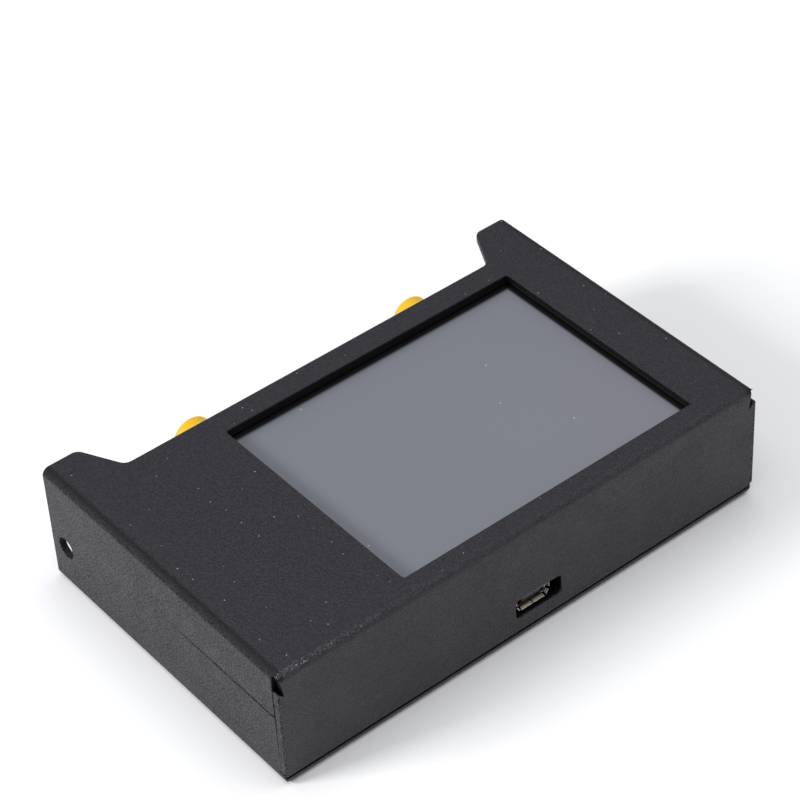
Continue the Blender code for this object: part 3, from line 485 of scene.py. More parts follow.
def drop_faces(bm, test):
    """Delete the faces whose centre and normal pass a test."""
    gone = [face for face in bm.faces if test(face.calc_center_median(), face.normal)]
    bmesh.ops.delete(bm, geom=gone, context="FACES")


def cut_opening(bm, centre, normal, across, along, size, radius=0.0, segments=6):
    """Cut an opening with rounded corners out of the flat face under its centre."""
    for axis, length in ((across, size[0]), (along, size[1])):
        for way in (-1, 1):
            face = face_under(bm, centre, normal)
            slice_faces(bm, [face], centre + axis * way * length / 2, axis)
    face = face_under(bm, centre, normal)
    if radius:
        round_corners(bm, face.verts[:], radius, segments)
        face = face_under(bm, centre, normal)
    bmesh.ops.delete(bm, geom=[face], context="FACES")


def cut_round_hole(bm, centre, normal, across, along, radius, segments=8):
    """A round hole is a square one whose corners are rounded until they meet."""
    cut_opening(bm, centre, normal, across, along, (2.01 * radius, 2.01 * radius), radius, segments)


def place_object(name, data):
    """A new object in the scene."""
    made = bpy.data.objects.new(name, data)
    bpy.context.scene.collection.objects.link(made)
    return made


def thicken(bm, thickness):
    """Give an open skin its sheet thickness on the inner side, with even walls at the folds."""
    mesh = bpy.data.meshes.new("skin")
    bm.to_mesh(mesh)
    bm.free()
    skin = place_object("skin", mesh)
    wall = skin.modifiers.new("sheet", "SOLIDIFY")
    wall.thickness = thickness
    wall.offset = -1
    wall.use_even_offset = True
    graph = bpy.context.evaluated_depsgraph_get()
    solid = bpy.data.meshes.new_from_object(skin.evaluated_get(graph))
    thick = bmesh.new()
    thick.from_mesh(solid)
    bpy.data.objects.remove(skin, do_unlink=True)
    bpy.data.meshes.remove(mesh)
    bpy.data.meshes.remove(solid)
    return thick


def turned(profile, centre, steps=ROUND):
    """A solid turned about the Y axis through centre, from closed (radius, y) points."""
    bm = bmesh.new()
    verts = [bm.verts.new((centre.x + radius, y, centre.z)) for radius, y in profile]
    edges = [bm.edges.new(pair) for pair in zip(verts, verts[1:])]
    if profile[0][0] > 0:
        edges.append(bm.edges.new((verts[-1], verts[0])))
    bmesh.ops.spin(
        bm, geom=verts + edges, cent=centre, axis=Y, angle=2 * math.pi, steps=steps, use_merge=True
    )
    bmesh.ops.remove_doubles(bm, verts=bm.verts, dist=TINY)
    bmesh.ops.recalc_face_normals(bm, faces=bm.faces)
    return bm


def rounded(points, radius, steps=4):
    """The same open profile with its inner corners turned into arcs of a radius."""
    result = [points[0]]
    for before, corner, after in zip(points, points[1:], points[2:]):
        here = Vector(corner)
        back = Vector(before) - here
        ahead = Vector(after) - here
        reach = min(radius, back.length / 2.01, ahead.length / 2.01)
        start = here + back.normalized() * reach
        end = here + ahead.normalized() * reach
        for step in range(steps + 1):
            t = step / steps
            point = start * (1 - t) ** 2 + here * 2 * t * (1 - t) + end * t ** 2
            result.append((point.x, point.y))
    result.append(points[-1])
    return result


def box_between(bm, low, high):
    """A box from corner to corner; returns its vertices."""
    size = Vector(high) - Vector(low)
    centre = (Vector(high) + Vector(low)) / 2
    matrix = Matrix.Translation(centre) @ Matrix.Diagonal((*size, 1.0))
    return bmesh.ops.create_cube(bm, size=1.0, matrix=matrix)["verts"]


def round_edges(bm, edges, radius, segments=3):
    bmesh.ops.bevel(
        bm, geom=edges, offset=radius, offset_type="OFFSET", segments=segments, profile=0.5,
        affect="EDGES", clamp_overlap=True, material=-1,
    )


def round_corners(bm, verts, radius, segments, clamp=False):
    """Turn the corners of open flat faces into arcs."""
    bmesh.ops.bevel(
        bm, geom=verts, offset=radius, offset_type="OFFSET", segments=segments, profile=0.5,
        affect="VERTICES", clamp_overlap=clamp, material=-1,
    )


def edges_of(verts):
    return list({edge for vert in verts for edge in vert.link_edges})


def upright_edges(bm):
    return [edge for edge in bm.edges if abs(edge.verts[0].co.z - edge.verts[1].co.z) > TINY]


def middle_of(node):
    low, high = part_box(node)
    return (low + high) / 2


def add_piece(bm, name, body, slot, replaced=(), edge=0.0, angle=35.0):
    """Turn a bmesh into a named piece that rides a body and stands for CAD nodes."""
    mesh = bpy.data.meshes.new(name)
    bm.to_mesh(mesh)
    bm.free()
    mesh.materials.append(finish(slot))
    mesh.shade_smooth()
    mesh.set_sharp_from_angle(angle=math.radians(angle))
    piece = place_object(name, mesh)
    if edge:
        rounding = piece.modifiers.new("edge", "BEVEL")
        rounding.width = edge
        rounding.segments = 2
        rounding.limit_method = "WEIGHT" if "bevel_weight_edge" in mesh.attributes else "ANGLE"
        rounding.angle_limit = math.radians(50)
        rounding.use_clamp_overlap = False
        rounding.harden_normals = True
    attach(piece, body)
    if replaced:
        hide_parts(*replaced)
    return piece


def finish_node(name, slot):
    """Give a CAD node that stays its own finish."""
    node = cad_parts[name]
    if not node.material_slots:
        node.data.materials.append(None)
    for place in node.material_slots:
        place.material = finish(slot)


# ---------------------------------------------------------------- settings


def length_setting(name, description, millimetres):
    return FloatProperty(name=name, description=description, default=millimetres * MM, unit="LENGTH")


def angle_setting(name, description, degrees):
    default = math.radians(degrees)
    return FloatProperty(name=name, description=description, default=default, subtype="ANGLE")


def colour_setting(name, description, code):
    return FloatVectorProperty(
        name=name, description=description, default=linear(code)[:3], size=3, subtype="COLOR", min=0, max=1
    )


class AnalyzerCaseSettings(bpy.types.PropertyGroup):
    sheet: length_setting("Sheet", "Thickness of the steel with its coat", 1.2)
    fold: length_setting("Fold radius", "Outer radius of the folds", 1.4)
    edge: length_setting("Edge", "Rounding of the coat over a cut edge", 0.13)
    seam: length_setting("Seam", "Widest gap between the upper and lower flanges", 0.24)
    coat_grain: length_setting("Grain", "Width of one grain of the powder coat", 0.24)
    coat_colour: colour_setting("Coat", "Colour of the coat's crests", "#28242f")


class AnalyzerScreenSettings(bpy.types.PropertyGroup):
    window_width: length_setting("Window width", "Width of the opening over the screen", 60.1)
    window_depth: length_setting("Window depth", "Depth of the opening over the screen", 45.4)
    window_shift: length_setting("Window shift", "How far the window sits right of centre", 8.55)
    picture_right: length_setting("Picture right", "Where the picture area ends at the right", 37.8)
    picture_rear: length_setting("Picture rear", "Where the picture area ends at the rear", 21.45)
    screen_cool: colour_setting("Screen, cool", "Tone at the screen's left", "#70747c")
    screen_warm: colour_setting("Screen, warm", "Tone at the screen's right", "#797781")


class AnalyzerPortSettings(bpy.types.PropertyGroup):
    thread_pitch: length_setting("Thread pitch", "Distance between the ports' thread crests", 0.7056)
    cap_rounding: length_setting("Cap rounding", "Radius at the closed end of a dust cap", 0.9)
    cap_colour: colour_setting("Cap", "Colour of the dust caps", "#e6b61a")


class AnalyzerStageSettings(bpy.types.PropertyGroup):
    floor_colour: colour_setting("Floor", "Colour of the floor", "#fbfbfb")
    azimuth: angle_setting("Azimuth", "Camera angle round the object", -37.04)
    elevation: angle_setting("Elevation", "Camera angle above the floor", 40.82)
    roll: angle_setting("Roll", "Camera turn about its own axis", -3.45)
    distance: length_setting("Distance", "From the camera to its target", 502.0)
    target: FloatVectorProperty(name="Target", description="Point on the floor that the camera aims at",
                                default=(20.58 * MM, 31.04 * MM, 0.0), size=3, subtype="TRANSLATION")
    lens: FloatProperty(name="Lens", description="Focal length in millimetres", default=128.75)


# ---------------------------------------------------------------- folded case


def is_side(face_normal, side):
    """True on a side flange and on its folds, which never face forwards."""
    return face_normal.x * side > 0.02 and abs(face_normal.y) < 0.02


def is_front(face_normal):
    return face_normal.y < -0.02


def case_skin(case):
    """The outside of the folded sheet, open at the rear, with its six folds rounded."""
    bm = bmesh.new()
    box_between(bm, (-HALF_WIDTH, FRONT, 0), (HALF_WIDTH, EAR_END, TOP))
    drop_faces(bm, lambda centre, normal: normal.y > 0.5)
    folds = [
        edge for edge in bm.edges
        if len(edge.link_faces) == 2 and abs(edge.verts[0].co.z - edge.verts[1].co.z) < TOP / 2
    ]
    round_edges(bm, folds, case.fold, 8)
    return bm


def cut_ears(bm):
    """Cut the top and bottom plates back between the two ears, and round the ears' corners."""
    lean = Vector((EAR_END - REAR, EAR_ROOT - EAR_TIP, 0)).normalized()
    for up in (-1, 1):
        plates = [face for face in bm.faces if face.normal.z * up > 0.99]
        slice_faces(bm, plates, Vector((0, REAR, 0)), Y)
        for side in (-1, 1):
            ears = [
                face for face in bm.faces
                if face.normal.z * up > 0.99 and face.calc_center_median().y > REAR
            ]
            slice_faces(bm, ears, Vector((side * EAR_ROOT, REAR, 0)), Vector((side * lean.x, lean.y, 0)))
    middle = EAR_ROOT - MM
    drop_faces(
        bm, lambda centre, normal: centre.y > REAR and abs(normal.z) > 0.99 and abs(centre.x) < middle
    )
    joins = [
        edge for edge in bm.edges
        if all(abs(vert.co.y - REAR) < NEAR for vert in edge.verts) and not edge.is_boundary
        and all(abs(face.normal.z) > 0.99 for face in edge.link_faces)
    ]
    bmesh.ops.dissolve_edges(bm, edges=joins)
    corners = [
        vert for vert in bm.verts
        if vert.is_boundary
        and min((vert.co.xy - Vector((side * x, y))).length
                for side in (-1, 1) for x, y in ((EAR_ROOT, REAR), (EAR_TIP, EAR_END))) < NEAR
    ]
    round_corners(bm, corners, 1.0 * MM, 6)


def cut_corner(bm, side):
    """Open one front corner: the flange stops behind the front wall, with a notch above and a slot below."""
    edge = side * HALF_WIDTH
    flange_front = Vector((0, FRONT + FLANGE_SETBACK, 0))

    def at_corner(test):
        return [
            face for face in bm.faces
            if (face.calc_center_median().x - edge) * side > -6 * MM and test(face)
        ]

    def on_flange(face):
        return is_side(face.normal, side)

    def on_wall(face):
        return is_front(face.normal)

    strip = Vector((edge - side * 5.0 * MM, 0, 0))
    slice_faces(bm, [face for face in bm.faces if on_wall(face)], strip, X)
    slice_faces(bm, at_corner(on_flange), flange_front, Y)
    for height in (WALL_END_LOW, WALL_END_HIGH, NOTCH_HIGH):
        slice_faces(bm, at_corner(lambda face: on_flange(face) and is_ahead(face)), Z * height, Z)
    slice_faces(bm, at_corner(on_wall), Z * NOTCH_HIGH, Z)

    # The notch in the front wall leans: its sill falls away from the corner, and its far edge
    # rises to the fold
    notch_top = Vector((edge - side * NOTCH_TOP_INSET, 0, NOTCH_HIGH))
    notch_foot = Vector((edge - side * NOTCH_FOOT[0], 0, WALL_END_HIGH - NOTCH_FOOT[1]))
    sill = Vector((edge, 0, WALL_END_HIGH))
    upward = Y.cross(notch_foot - sill) * side
    outward = Y.cross(notch_top - notch_foot) * side
    for point, normal in ((sill, upward), (notch_top, outward)):
        wall_end = at_corner(lambda face: on_wall(face) and spans(face, WALL_END_LOW, NOTCH_HIGH))
        slice_faces(bm, wall_end, point, normal)

    def is_open(face):
        if on_flange(face) and is_ahead(face):
            return spans(face, WALL_END_LOW, NOTCH_HIGH)
        centre = face.calc_center_median()
        above_sill = (centre - sill).dot(upward) > 0
        past_edge = (centre - notch_top).dot(outward) > 0
        return on_wall(face) and centre.z < NOTCH_HIGH and above_sill and past_edge

    bmesh.ops.delete(bm, geom=at_corner(is_open), context="FACES")
    step_out_wall_end(bm, side)


def is_ahead(face):
    """True on the strip of a side flange that the front wall's end covers."""
    return face.calc_center_median().y < FRONT + FLANGE_SETBACK


def spans(face, low, high):
    return low < face.calc_center_median().z < high


def step_out_wall_end(bm, side):
    """Draw the front wall's end past the flange that it covers."""
    ends = [
        edge for edge in bm.edges
        if edge.is_boundary and all(
            abs(vert.co.x - side * HALF_WIDTH) < NEAR and abs(vert.co.y - FRONT) < NEAR
            and WALL_END_LOW - NEAR < vert.co.z < WALL_END_HIGH + NEAR
            for vert in edge.verts
        )
    ]
    drawn = bmesh.ops.extrude_edge_only(bm, edges=ends)["geom"]
    moved = [part for part in drawn if isinstance(part, bmesh.types.BMVert)]
    step = LEFT_STEP if side < 0 else FRONT_STEP
    bmesh.ops.translate(bm, verts=moved, vec=(side * step, 0, 0))


def cut_slot(bm, side):
    """A bend-relief slot along the corner's diagonal, through both skins of the finished sheet."""
    corner = Vector((side * HALF_WIDTH, FRONT, 0))
    across = Vector((1, side, 0)).normalized()

    def near_corner():
        return [
            face for face in bm.faces
            if abs(face.normal.z) < 0.02 and face.calc_center_median().z < WALL_END_LOW
            and all((vert.co.xy - corner.xy).length < CORNER_REACH for vert in face.verts)
            and (face.calc_center_median().xy - corner.xy).dot(Vector((-side, 1))) > -MM
            and any((vert.co.xy - corner.xy).length < 3 * MM for vert in face.verts)
        ]

    for height in (SLOT_LOW, SLOT_HIGH):
        slice_faces(bm, near_corner(), Vector((0, 0, height)), Z)
    for way in (-1, 1):
        band = [face for face in near_corner() if spans(face, SLOT_LOW, SLOT_HIGH)]
        slice_faces(bm, band, corner + across * way * SLOT_WIDTH / 2, across)
    opening = [
        face for face in near_corner()
        if spans(face, SLOT_LOW, SLOT_HIGH)
        and abs((face.calc_center_median() - corner).dot(across)) < SLOT_WIDTH / 2
    ]
    bmesh.ops.delete(bm, geom=opening, context="FACES")
    rims = [edge for edge in bm.edges if edge.is_boundary]
    if rims:
        bmesh.ops.bridge_loops(bm, edges=rims)


def open_seam(bm, case, side):
    """Part the upper and lower flanges: a gap that narrows from the front and closes halfway back."""
    flange_front = FRONT + FLANGE_SETBACK

    def flange_faces():
        return [
            face for face in bm.faces
            if face.normal.x * side > 0.99 and face.calc_center_median().y > flange_front
        ]

    for y in (flange_front + 0.6 * MM, -20.0 * MM, -12.0 * MM, -5.0 * MM, SEAM_CLOSED):
        slice_faces(bm, flange_faces(), Vector((0, y, 0)), Y)
    for height in (SEAM_HEIGHT, 8.0 * MM, 4.6 * MM):
        ahead = [face for face in flange_faces() if face.calc_center_median().y < SEAM_CLOSED]
        slice_faces(bm, ahead, Vector((0, 0, height)), Z)
    seam = [
        edge for edge in bm.edges
        if all(abs(vert.co.z - SEAM_HEIGHT) < NEAR and (vert.co.x - side * HALF_WIDTH) * side > -NEAR
               and vert.co.y < SEAM_CLOSED + NEAR for vert in edge.verts)
        and abs(edge.verts[0].co.y - edge.verts[1].co.y) > TINY
    ]
    bmesh.ops.split_edges(bm, edges=seam)
    upper_corner = []
    for vert in bm.verts:
        on_seam = abs(vert.co.z - SEAM_HEIGHT) < NEAR and abs(vert.co.x - side * HALF_WIDTH) < NEAR
        if on_seam and vert.is_boundary and vert.link_faces:
            upper = sum(face.calc_center_median().z for face in vert.link_faces) / len(vert.link_faces)
            share = min(1.0, max(0.0, (SEAM_CLOSED - vert.co.y) / (14.0 * MM)))
            vert.co.z += math.copysign(case.seam / 2 * share, upper - SEAM_HEIGHT)
            if upper > SEAM_HEIGHT and vert.co.y < flange_front + NEAR:
                upper_corner.append(vert)
    # The flange leans against the front wall low down, and stands off it higher up
    for vert in bm.verts:
        rim = abs(vert.co.y - flange_front) < NEAR and abs(vert.co.x - side * HALF_WIDTH) < NEAR
        if rim and WALL_END_LOW - NEAR < vert.co.z < 5.0 * MM:
            vert.co.y -= 0.24 * MM
        elif rim and 5.0 * MM < vert.co.z < 9.0 * MM:
            vert.co.y -= 0.12 * MM
    round_corners(bm, upper_corner, 0.5 * MM, 4, True)


def build_case(case, screen):
    bm = case_skin(case)
    cut_ears(bm)
    window = Vector((screen.window_shift, WINDOW_BACK, TOP))
    cut_opening(bm, window, Z, X, Y, (screen.window_width, screen.window_depth), 0.5 * MM, 5)
    slot = Vector((SOCKET_HOLE[0], FRONT, SOCKET_HOLE[1]))
    cut_opening(bm, slot, -Y, X, Z, SOCKET_HOLE_SIZE, 0.9 * MM, 8)
    screws = [middle_of("bottom_screw_" + corner).xy for corner in CORNERS]
    for place in screws:
        cut_round_hole(bm, place.to_3d(), -Z, X, Y, SCREW_HOLE)
    back, height, radius = EAR_HOLE
    for side in (-1, 1):
        ear_hole = Vector((side * HALF_WIDTH, REAR + back, height))
        cut_round_hole(bm, ear_hole, X * side, Y, Z, radius, 10)
        cut_corner(bm, side)
        open_seam(bm, case, side)
    bm = thicken(bm, case.sheet)
    for side in (-1, 1):
        cut_slot(bm, side)
    shape_countersinks(bm, case, screws)
    choose_outer_edges(bm, case)
    add_piece(bm, "folded_case", "case", "black_powder_coat", ("case_shell",), case.edge, 30)


def choose_outer_edges(bm, case):
    """Mark the cut edges on the outside, where the coat flows round the sheet's corner."""
    weight = bm.edges.layers.float.new("bevel_weight_edge")
    inset = case.sheet * 0.9
    for edge in bm.edges:
        middle = (edge.verts[0].co + edge.verts[1].co) / 2
        inside = (
            abs(middle.x) < HALF_WIDTH - inset and middle.y > FRONT + inset
            and inset < middle.z < TOP - inset
        )
        if not inside and len(edge.link_faces) == 2 and edge.calc_face_angle() > math.radians(50):
            edge[weight] = 1.0


def shape_countersinks(bm, case, screws):
    """Draw the holes' inner rims in, so that each becomes a cone under its screw head."""
    for place in screws:
        centre = Vector((*place, case.sheet))
        rim = [
            vert for vert in bm.verts
            if (vert.co - centre).length < SCREW_HOLE + 0.1 * MM and abs(vert.co.z - case.sheet) < NEAR
        ]
        bmesh.ops.scale(bm, vec=(0.55, 0.55, 1), verts=rim, space=Matrix.Translation(-centre))


# ---------------------------------------------------------------- rear wall


def build_rear_wall():
    """A flat plate between the ears with round and slotted holes for what passes through it."""
    low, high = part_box("rear_panel")
    bm = bmesh.new()
    box_between(bm, low, high)
    drop_faces(bm, lambda centre, normal: normal.y < 0.5)
    round_corners(bm, bm.verts[:], 0.8 * MM, 4)
    for side in SIDES:
        centre = middle_of("port_body_" + side)
        centre.y = high.y
        centre.z = PORT_HEIGHT
        cut_round_hole(bm, centre, Y, X, Z, NUT_BORE, 10)
    for key in KEYS:
        centre = middle_of("key_" + key)
        centre.y = high.y
        cut_round_hole(bm, centre, Y, X, Z, 2.0 * MM)
    knob = middle_of("power_slider")
    slot = Vector((knob.x + 1.0 * MM, high.y, knob.z))
    cut_opening(bm, slot, Y, X, Z, (4.8 * MM, 2.0 * MM), 0.3 * MM, 3)
    bm = thicken(bm, high.y - low.y)
    add_piece(bm, "rear_wall", "case", "black_powder_coat", ("rear_panel",), 0.1 * MM, 30)


# ---------------------------------------------------------------- screen


def build_screen(screen):
    """Touch glass with its film on top, and the foam seal squeezed under the window's edge."""
    low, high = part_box("touch_panel")
    bm = bmesh.new()
    film_foot = high.z - 0.2 * MM
    box_between(bm, low, (high.x, high.y, film_foot))
    round_edges(bm, upright_edges(bm), 1.0 * MM, 4)
    add_piece(bm, "touch_glass", "case", "screen_film", (), 0.06 * MM)

    bm = bmesh.new()
    inset = 0.35 * MM
    foot = (low.x + inset, low.y + inset, film_foot + 0.01 * MM)
    box_between(bm, foot, (high.x - inset, high.y - inset, high.z))
    round_edges(bm, upright_edges(bm), 0.8 * MM, 4)
    add_piece(bm, "touch_film", "case", "screen_film", ("touch_panel",), 0.04 * MM)
    build_gasket(screen)


def build_gasket(screen):
    """A foam frame of square section."""
    low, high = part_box("window_gasket")
    bm = bmesh.new()
    box_between(bm, low, high)
    drop_faces(bm, lambda centre, normal: normal.z < 0.5)
    centre = Vector((screen.window_shift, WINDOW_BACK, high.z))
    inner = (screen.window_width + 0.6 * MM, screen.window_depth + 0.6 * MM)
    cut_opening(bm, centre, Z, X, Y, inner, 0.4 * MM, 3)
    bm = thicken(bm, high.z - low.z)
    add_piece(bm, "foam_seal", "case", "black_foam", ("window_gasket",), 0.12 * MM)


# ---------------------------------------------------------------- charging socket


def socket_ring(bm, grow, y, low, high):
    """One ring of the socket's outline: straight above, drawn in below, corners rounded when plain."""
    flare = 0.15 * MM
    middle = (low.x + high.x) / 2
    top = high.z - flare
    bottom = low.z + flare
    shoulder = top - 1.2 * MM
    wide = (high.x - low.x) / 2 - flare
    foot = wide - 0.7 * MM
    points = [
        (middle - wide - grow, top + grow), (middle + wide + grow, top + grow),
        (middle + wide + grow, shoulder), (middle + foot + grow / 2, bottom - grow),
        (middle - foot - grow / 2, bottom - grow), (middle - wide - grow, shoulder),
    ]
    ring = bm.faces.new([bm.verts.new((x, y, z)) for x, z in points])
    round_corners(bm, ring.verts[:], 0.3 * MM, 4)
    ring = max(bm.faces, key=lambda face: -abs(face.calc_center_median().y - y))
    edges = ring.edges[:]
    bmesh.ops.delete(bm, geom=[ring], context="FACES_ONLY")
    return edges


def build_socket():
    """A pressed tin shell with four flared lips and a seam below, an insulated tongue and contacts."""
    low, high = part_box("usb_shell")
    lip = 0.75 * MM
    bm = bmesh.new()
    rings = ((high.y, 0.0), (low.y + lip, 0.0), (low.y + 0.45 * MM, 0.06 * MM), (low.y, 0.24 * MM))
    loops = [socket_ring(bm, grow, y, low, high) for y, grow in rings]
    for near, far in zip(loops, loops[1:]):
        bmesh.ops.bridge_loops(bm, edges=near + far)
    bmesh.ops.recalc_face_normals(bm, faces=bm.faces)
    roof = max(bm.faces, key=lambda face: face.calc_center_median().z)
    if roof.normal.z < 0:
        bmesh.ops.reverse_faces(bm, faces=bm.faces)
    split_below(bm, low, high)
    # The lips are separate: each bend's rounded corner is cut away between them
    lips = [face for face in bm.faces if face.calc_center_median().y < low.y + lip]
    corners = [face for face in lips if min(edge.calc_length() for edge in face.edges) < 0.2 * MM]
    bmesh.ops.delete(bm, geom=corners, context="FACES")
    bm = thicken(bm, 0.25 * MM)
    add_piece(bm, "socket_shell", "case", "tinned_steel", ("usb_shell",), 0.04 * MM)
    build_tongue()


def split_below(bm, low, high):
    """The seam where the pressed shell's two ends meet, in the middle of its underside."""
    gap = 0.16 * MM
    middle = (low.x + high.x) / 2

    def under(face):
        centre = face.calc_center_median()
        return centre.z < low.z + 0.3 * MM and abs(centre.x - middle) < 1.5 * MM

    for way in (-1, 1):
        below = [face for face in bm.faces if under(face)]
        slice_faces(bm, below, Vector((middle + way * gap / 2, 0, 0)), X)
    drop_faces(
        bm, lambda centre, normal: abs(centre.x - middle) < gap / 2 and centre.z < low.z + 0.3 * MM
    )


def build_tongue():
    """The insulator's block and tongue, with five gilt contact strips set along the tongue."""
    low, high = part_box("usb_insulator")
    middle = (low.x + high.x) / 2
    bm = bmesh.new()
    box_between(bm, (low.x, high.y - 1.2 * MM, low.z), high)
    round_edges(bm, bm.edges[:], 0.12 * MM, 2)
    tongue_high = high.z - 0.2 * MM
    tongue_low = tongue_high - 0.6 * MM
    tongue = box_between(
        bm, (middle - 1.95 * MM, low.y, tongue_low), (middle + 1.95 * MM, high.y - 1.22 * MM, tongue_high)
    )
    nose = [edge for edge in edges_of(tongue) if all(abs(end.co.y - low.y) < TINY for end in edge.verts)]
    round_edges(bm, nose, 0.18 * MM, 3)
    add_piece(bm, "socket_tongue", "case", "black_nylon", ("usb_insulator",))

    bm = bmesh.new()
    pitch = 0.65 * MM
    for index in range(5):
        x = middle + (index - 2) * pitch
        strip = box_between(
            bm, (x - 0.18 * MM, low.y + 0.35 * MM, tongue_low - 0.09 * MM),
            (x + 0.18 * MM, high.y - 1.25 * MM, tongue_low - 0.01 * MM),
        )
        round_edges(bm, edges_of(strip), 0.03 * MM, 2)
    add_piece(bm, "socket_contacts", "case", "gold_plate")


# ---------------------------------------------------------------- coaxial ports


def off_axis(vert, centre):
    """Where a point lies round the Y axis through centre."""
    return Vector((vert.co.x - centre.x, vert.co.z - centre.z))


def draw_to_axis(vert, centre, share):
    around = off_axis(vert, centre)
    vert.co.x = centre.x + around.x * share
    vert.co.z = centre.z + around.y * share


def cut_thread(bm, centre, radius, start, end, pitch, depth):
    """Press a helical thread into the finely ringed barrel between two places along Y."""
    for vert in bm.verts:
        around = off_axis(vert, centre)
        if abs(around.length - radius) > 0.02 * MM or not start < vert.co.y < end:
            continue
        turn = math.atan2(around.y, around.x) / (2 * math.pi)
        phase = ((vert.co.y - start) / pitch - turn) % 1.0
        wave = abs(2 * phase - 1)
        fade = min(1.0, (vert.co.y - start) / pitch, (end - vert.co.y) / (0.6 * pitch))
        draw_to_axis(vert, centre, (radius - depth * wave * fade) / radius)


def mill_flats(bm, centre, flats, low, high):
    """Bring a turned blank down to six flats, which leaves the chamfer's arc at each corner."""
    for vert in bm.verts:
        around = off_axis(vert, centre)
        if around.length < flats / 2 or not low - TINY < vert.co.y < high + TINY:
            continue
        angle = math.atan2(around.y, around.x) % (math.pi / 3) - math.pi / 6
        limit = flats / 2 / math.cos(angle)
        if around.length > limit:
            draw_to_axis(vert, centre, limit / around.length)


def build_port(side, ports):
    """One port: threaded barrel, flange and legs, insulator, contact, washer and nut."""
    wall_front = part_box("rear_panel")[0].y
    centre = Vector((middle_of("port_body_" + side).x, 0, PORT_HEIGHT))
    radius = PORT_RADIUS
    flange_front = PORT_FLANGE_FRONT
    flange_rear = wall_front - 0.3 * MM
    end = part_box("port_body_" + side)[1].y
    contact_end = end - 1.9 * MM
    steps = int((end - flange_rear) / (ports.thread_pitch / 8))
    threaded = end - flange_rear - 0.4 * MM
    barrel = [(radius, end - 0.35 * MM - threaded * i / steps) for i in range(steps + 1)]
    profile = (
        [(PORT_BORE, contact_end), (2.25 * MM, contact_end + 0.05 * MM), (2.3 * MM, end - 0.2 * MM),
         (2.45 * MM, end), (radius - 0.35 * MM, end)] + barrel + [(PORT_BORE, flange_rear - 0.3 * MM)]
    )
    bm = turned(profile, centre, 64)
    cut_thread(bm, centre, radius, wall_front, end - 0.3 * MM, ports.thread_pitch, 0.32 * MM)
    half = 4.0 * MM
    flange = box_between(
        bm, (centre.x - half, flange_front, centre.z - half),
        (centre.x + half, flange_rear - 0.32 * MM, centre.z + half),
    )
    round_edges(bm, edges_of(flange), 0.25 * MM, 3)
    leg_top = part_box("main_board")[0].z - 0.3 * MM
    for offset in (-3.3 * MM, 3.3 * MM):
        leg = box_between(
            bm, (centre.x + offset - 0.5 * MM, flange_front - 4.1 * MM, centre.z - half + 0.1 * MM),
            (centre.x + offset + 0.5 * MM, flange_front - 0.02 * MM, leg_top),
        )
        round_edges(bm, edges_of(leg), 0.15 * MM, 2)
    add_piece(bm, "coaxial_barrel_" + side, "case", "gold_plate", ("port_body_" + side,), 0.0, 40)

    bore = PORT_BORE - 0.3 * MM
    profile = rounded(
        [(0.94 * MM, flange_front + 0.3 * MM), (0.94 * MM, contact_end), (bore, contact_end),
         (bore, flange_front + 0.3 * MM)], 0.12 * MM, 3
    )
    bm = turned(profile, centre)
    add_piece(bm, "port_dielectric_" + side, "case", "ptfe", ("port_insulator_" + side,))
    tip = contact_end - 0.1 * MM
    bore, pin, rim = 0.25 * MM, 0.35 * MM, 0.64 * MM
    profile = (
        [(0, tip - 1.9 * MM), (bore, tip - 1.9 * MM)]
        + rounded([(bore, tip - 1.8 * MM), (bore, tip - 0.15 * MM), (0.45 * MM, tip), (rim, tip),
                   (rim, flange_front), (pin, flange_front)], 0.1 * MM, 2)
        + [(pin, flange_front - 2.9 * MM), (0.2 * MM, flange_front - 3.0 * MM), (0, flange_front - 3.0 * MM)]
    )
    add_piece(turned(profile, centre, 24), "port_socket_contact_" + side, "case", "gold_plate",
              ("port_contact_" + side,))
    build_washer_and_nut(side, centre)


def build_washer_and_nut(side, centre):
    """A toothed lock washer and a hexagonal nut with its corners chamfered."""
    low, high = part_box("port_washer_" + side)
    bore = NUT_BORE
    rim = (high.x - low.x) / 2
    profile = rounded(
        [(bore, (low.y + high.y) / 2), (bore, high.y), (rim, high.y), (rim, low.y), (bore, low.y)],
        0.1 * MM, 2,
    )
    bm = turned(profile, centre, 72)
    tooth_lock_ring(bm, centre, rim, (low.y + high.y) / 2)
    add_piece(bm, "lock_washer_" + side, "case", "gold_plate", ("port_washer_" + side,))

    low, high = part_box("port_nut_" + side)
    flats = 8.0 * MM
    corner = flats / math.sqrt(3)
    chamfer = corner - flats / 2
    fall = chamfer * math.tan(math.radians(30))
    profile = [
        (bore, low.y + 0.25 * MM), (bore, high.y - 0.25 * MM), (bore + 0.25 * MM, high.y),
        (flats / 2 - 0.1 * MM, high.y),
    ]
    for share in (0.0, 0.35, 0.7, 1.0):
        profile.append((flats / 2 + chamfer * share, high.y - fall * share))
    for share in (1.0, 0.7, 0.35, 0.0):
        profile.append((flats / 2 + chamfer * share, low.y + fall * share))
    profile += [(flats / 2 - 0.1 * MM, low.y), (bore + 0.25 * MM, low.y)]
    bm = turned(profile, centre, 72)
    mill_flats(bm, centre, flats, low.y, high.y)
    add_piece(bm, "panel_nut_" + side, "case", "gold_plate", ("port_nut_" + side,), 0.0, 25)


def tooth_lock_ring(bm, centre, rim, level):
    """Notch a washer's rim between its teeth, and thin its outer rim a little towards the washer's middle
    plane.
    """
    teeth = 18
    for vert in bm.verts:
        around = off_axis(vert, centre)
        if around.length < rim - 0.35 * MM:
            continue
        phase = math.atan2(around.y, around.x) / (2 * math.pi) * teeth % 1.0
        if phase < 0.30:
            draw_to_axis(vert, centre, (rim - 0.45 * MM) / around.length)
        vert.co.y = level + (vert.co.y - level) * 0.96


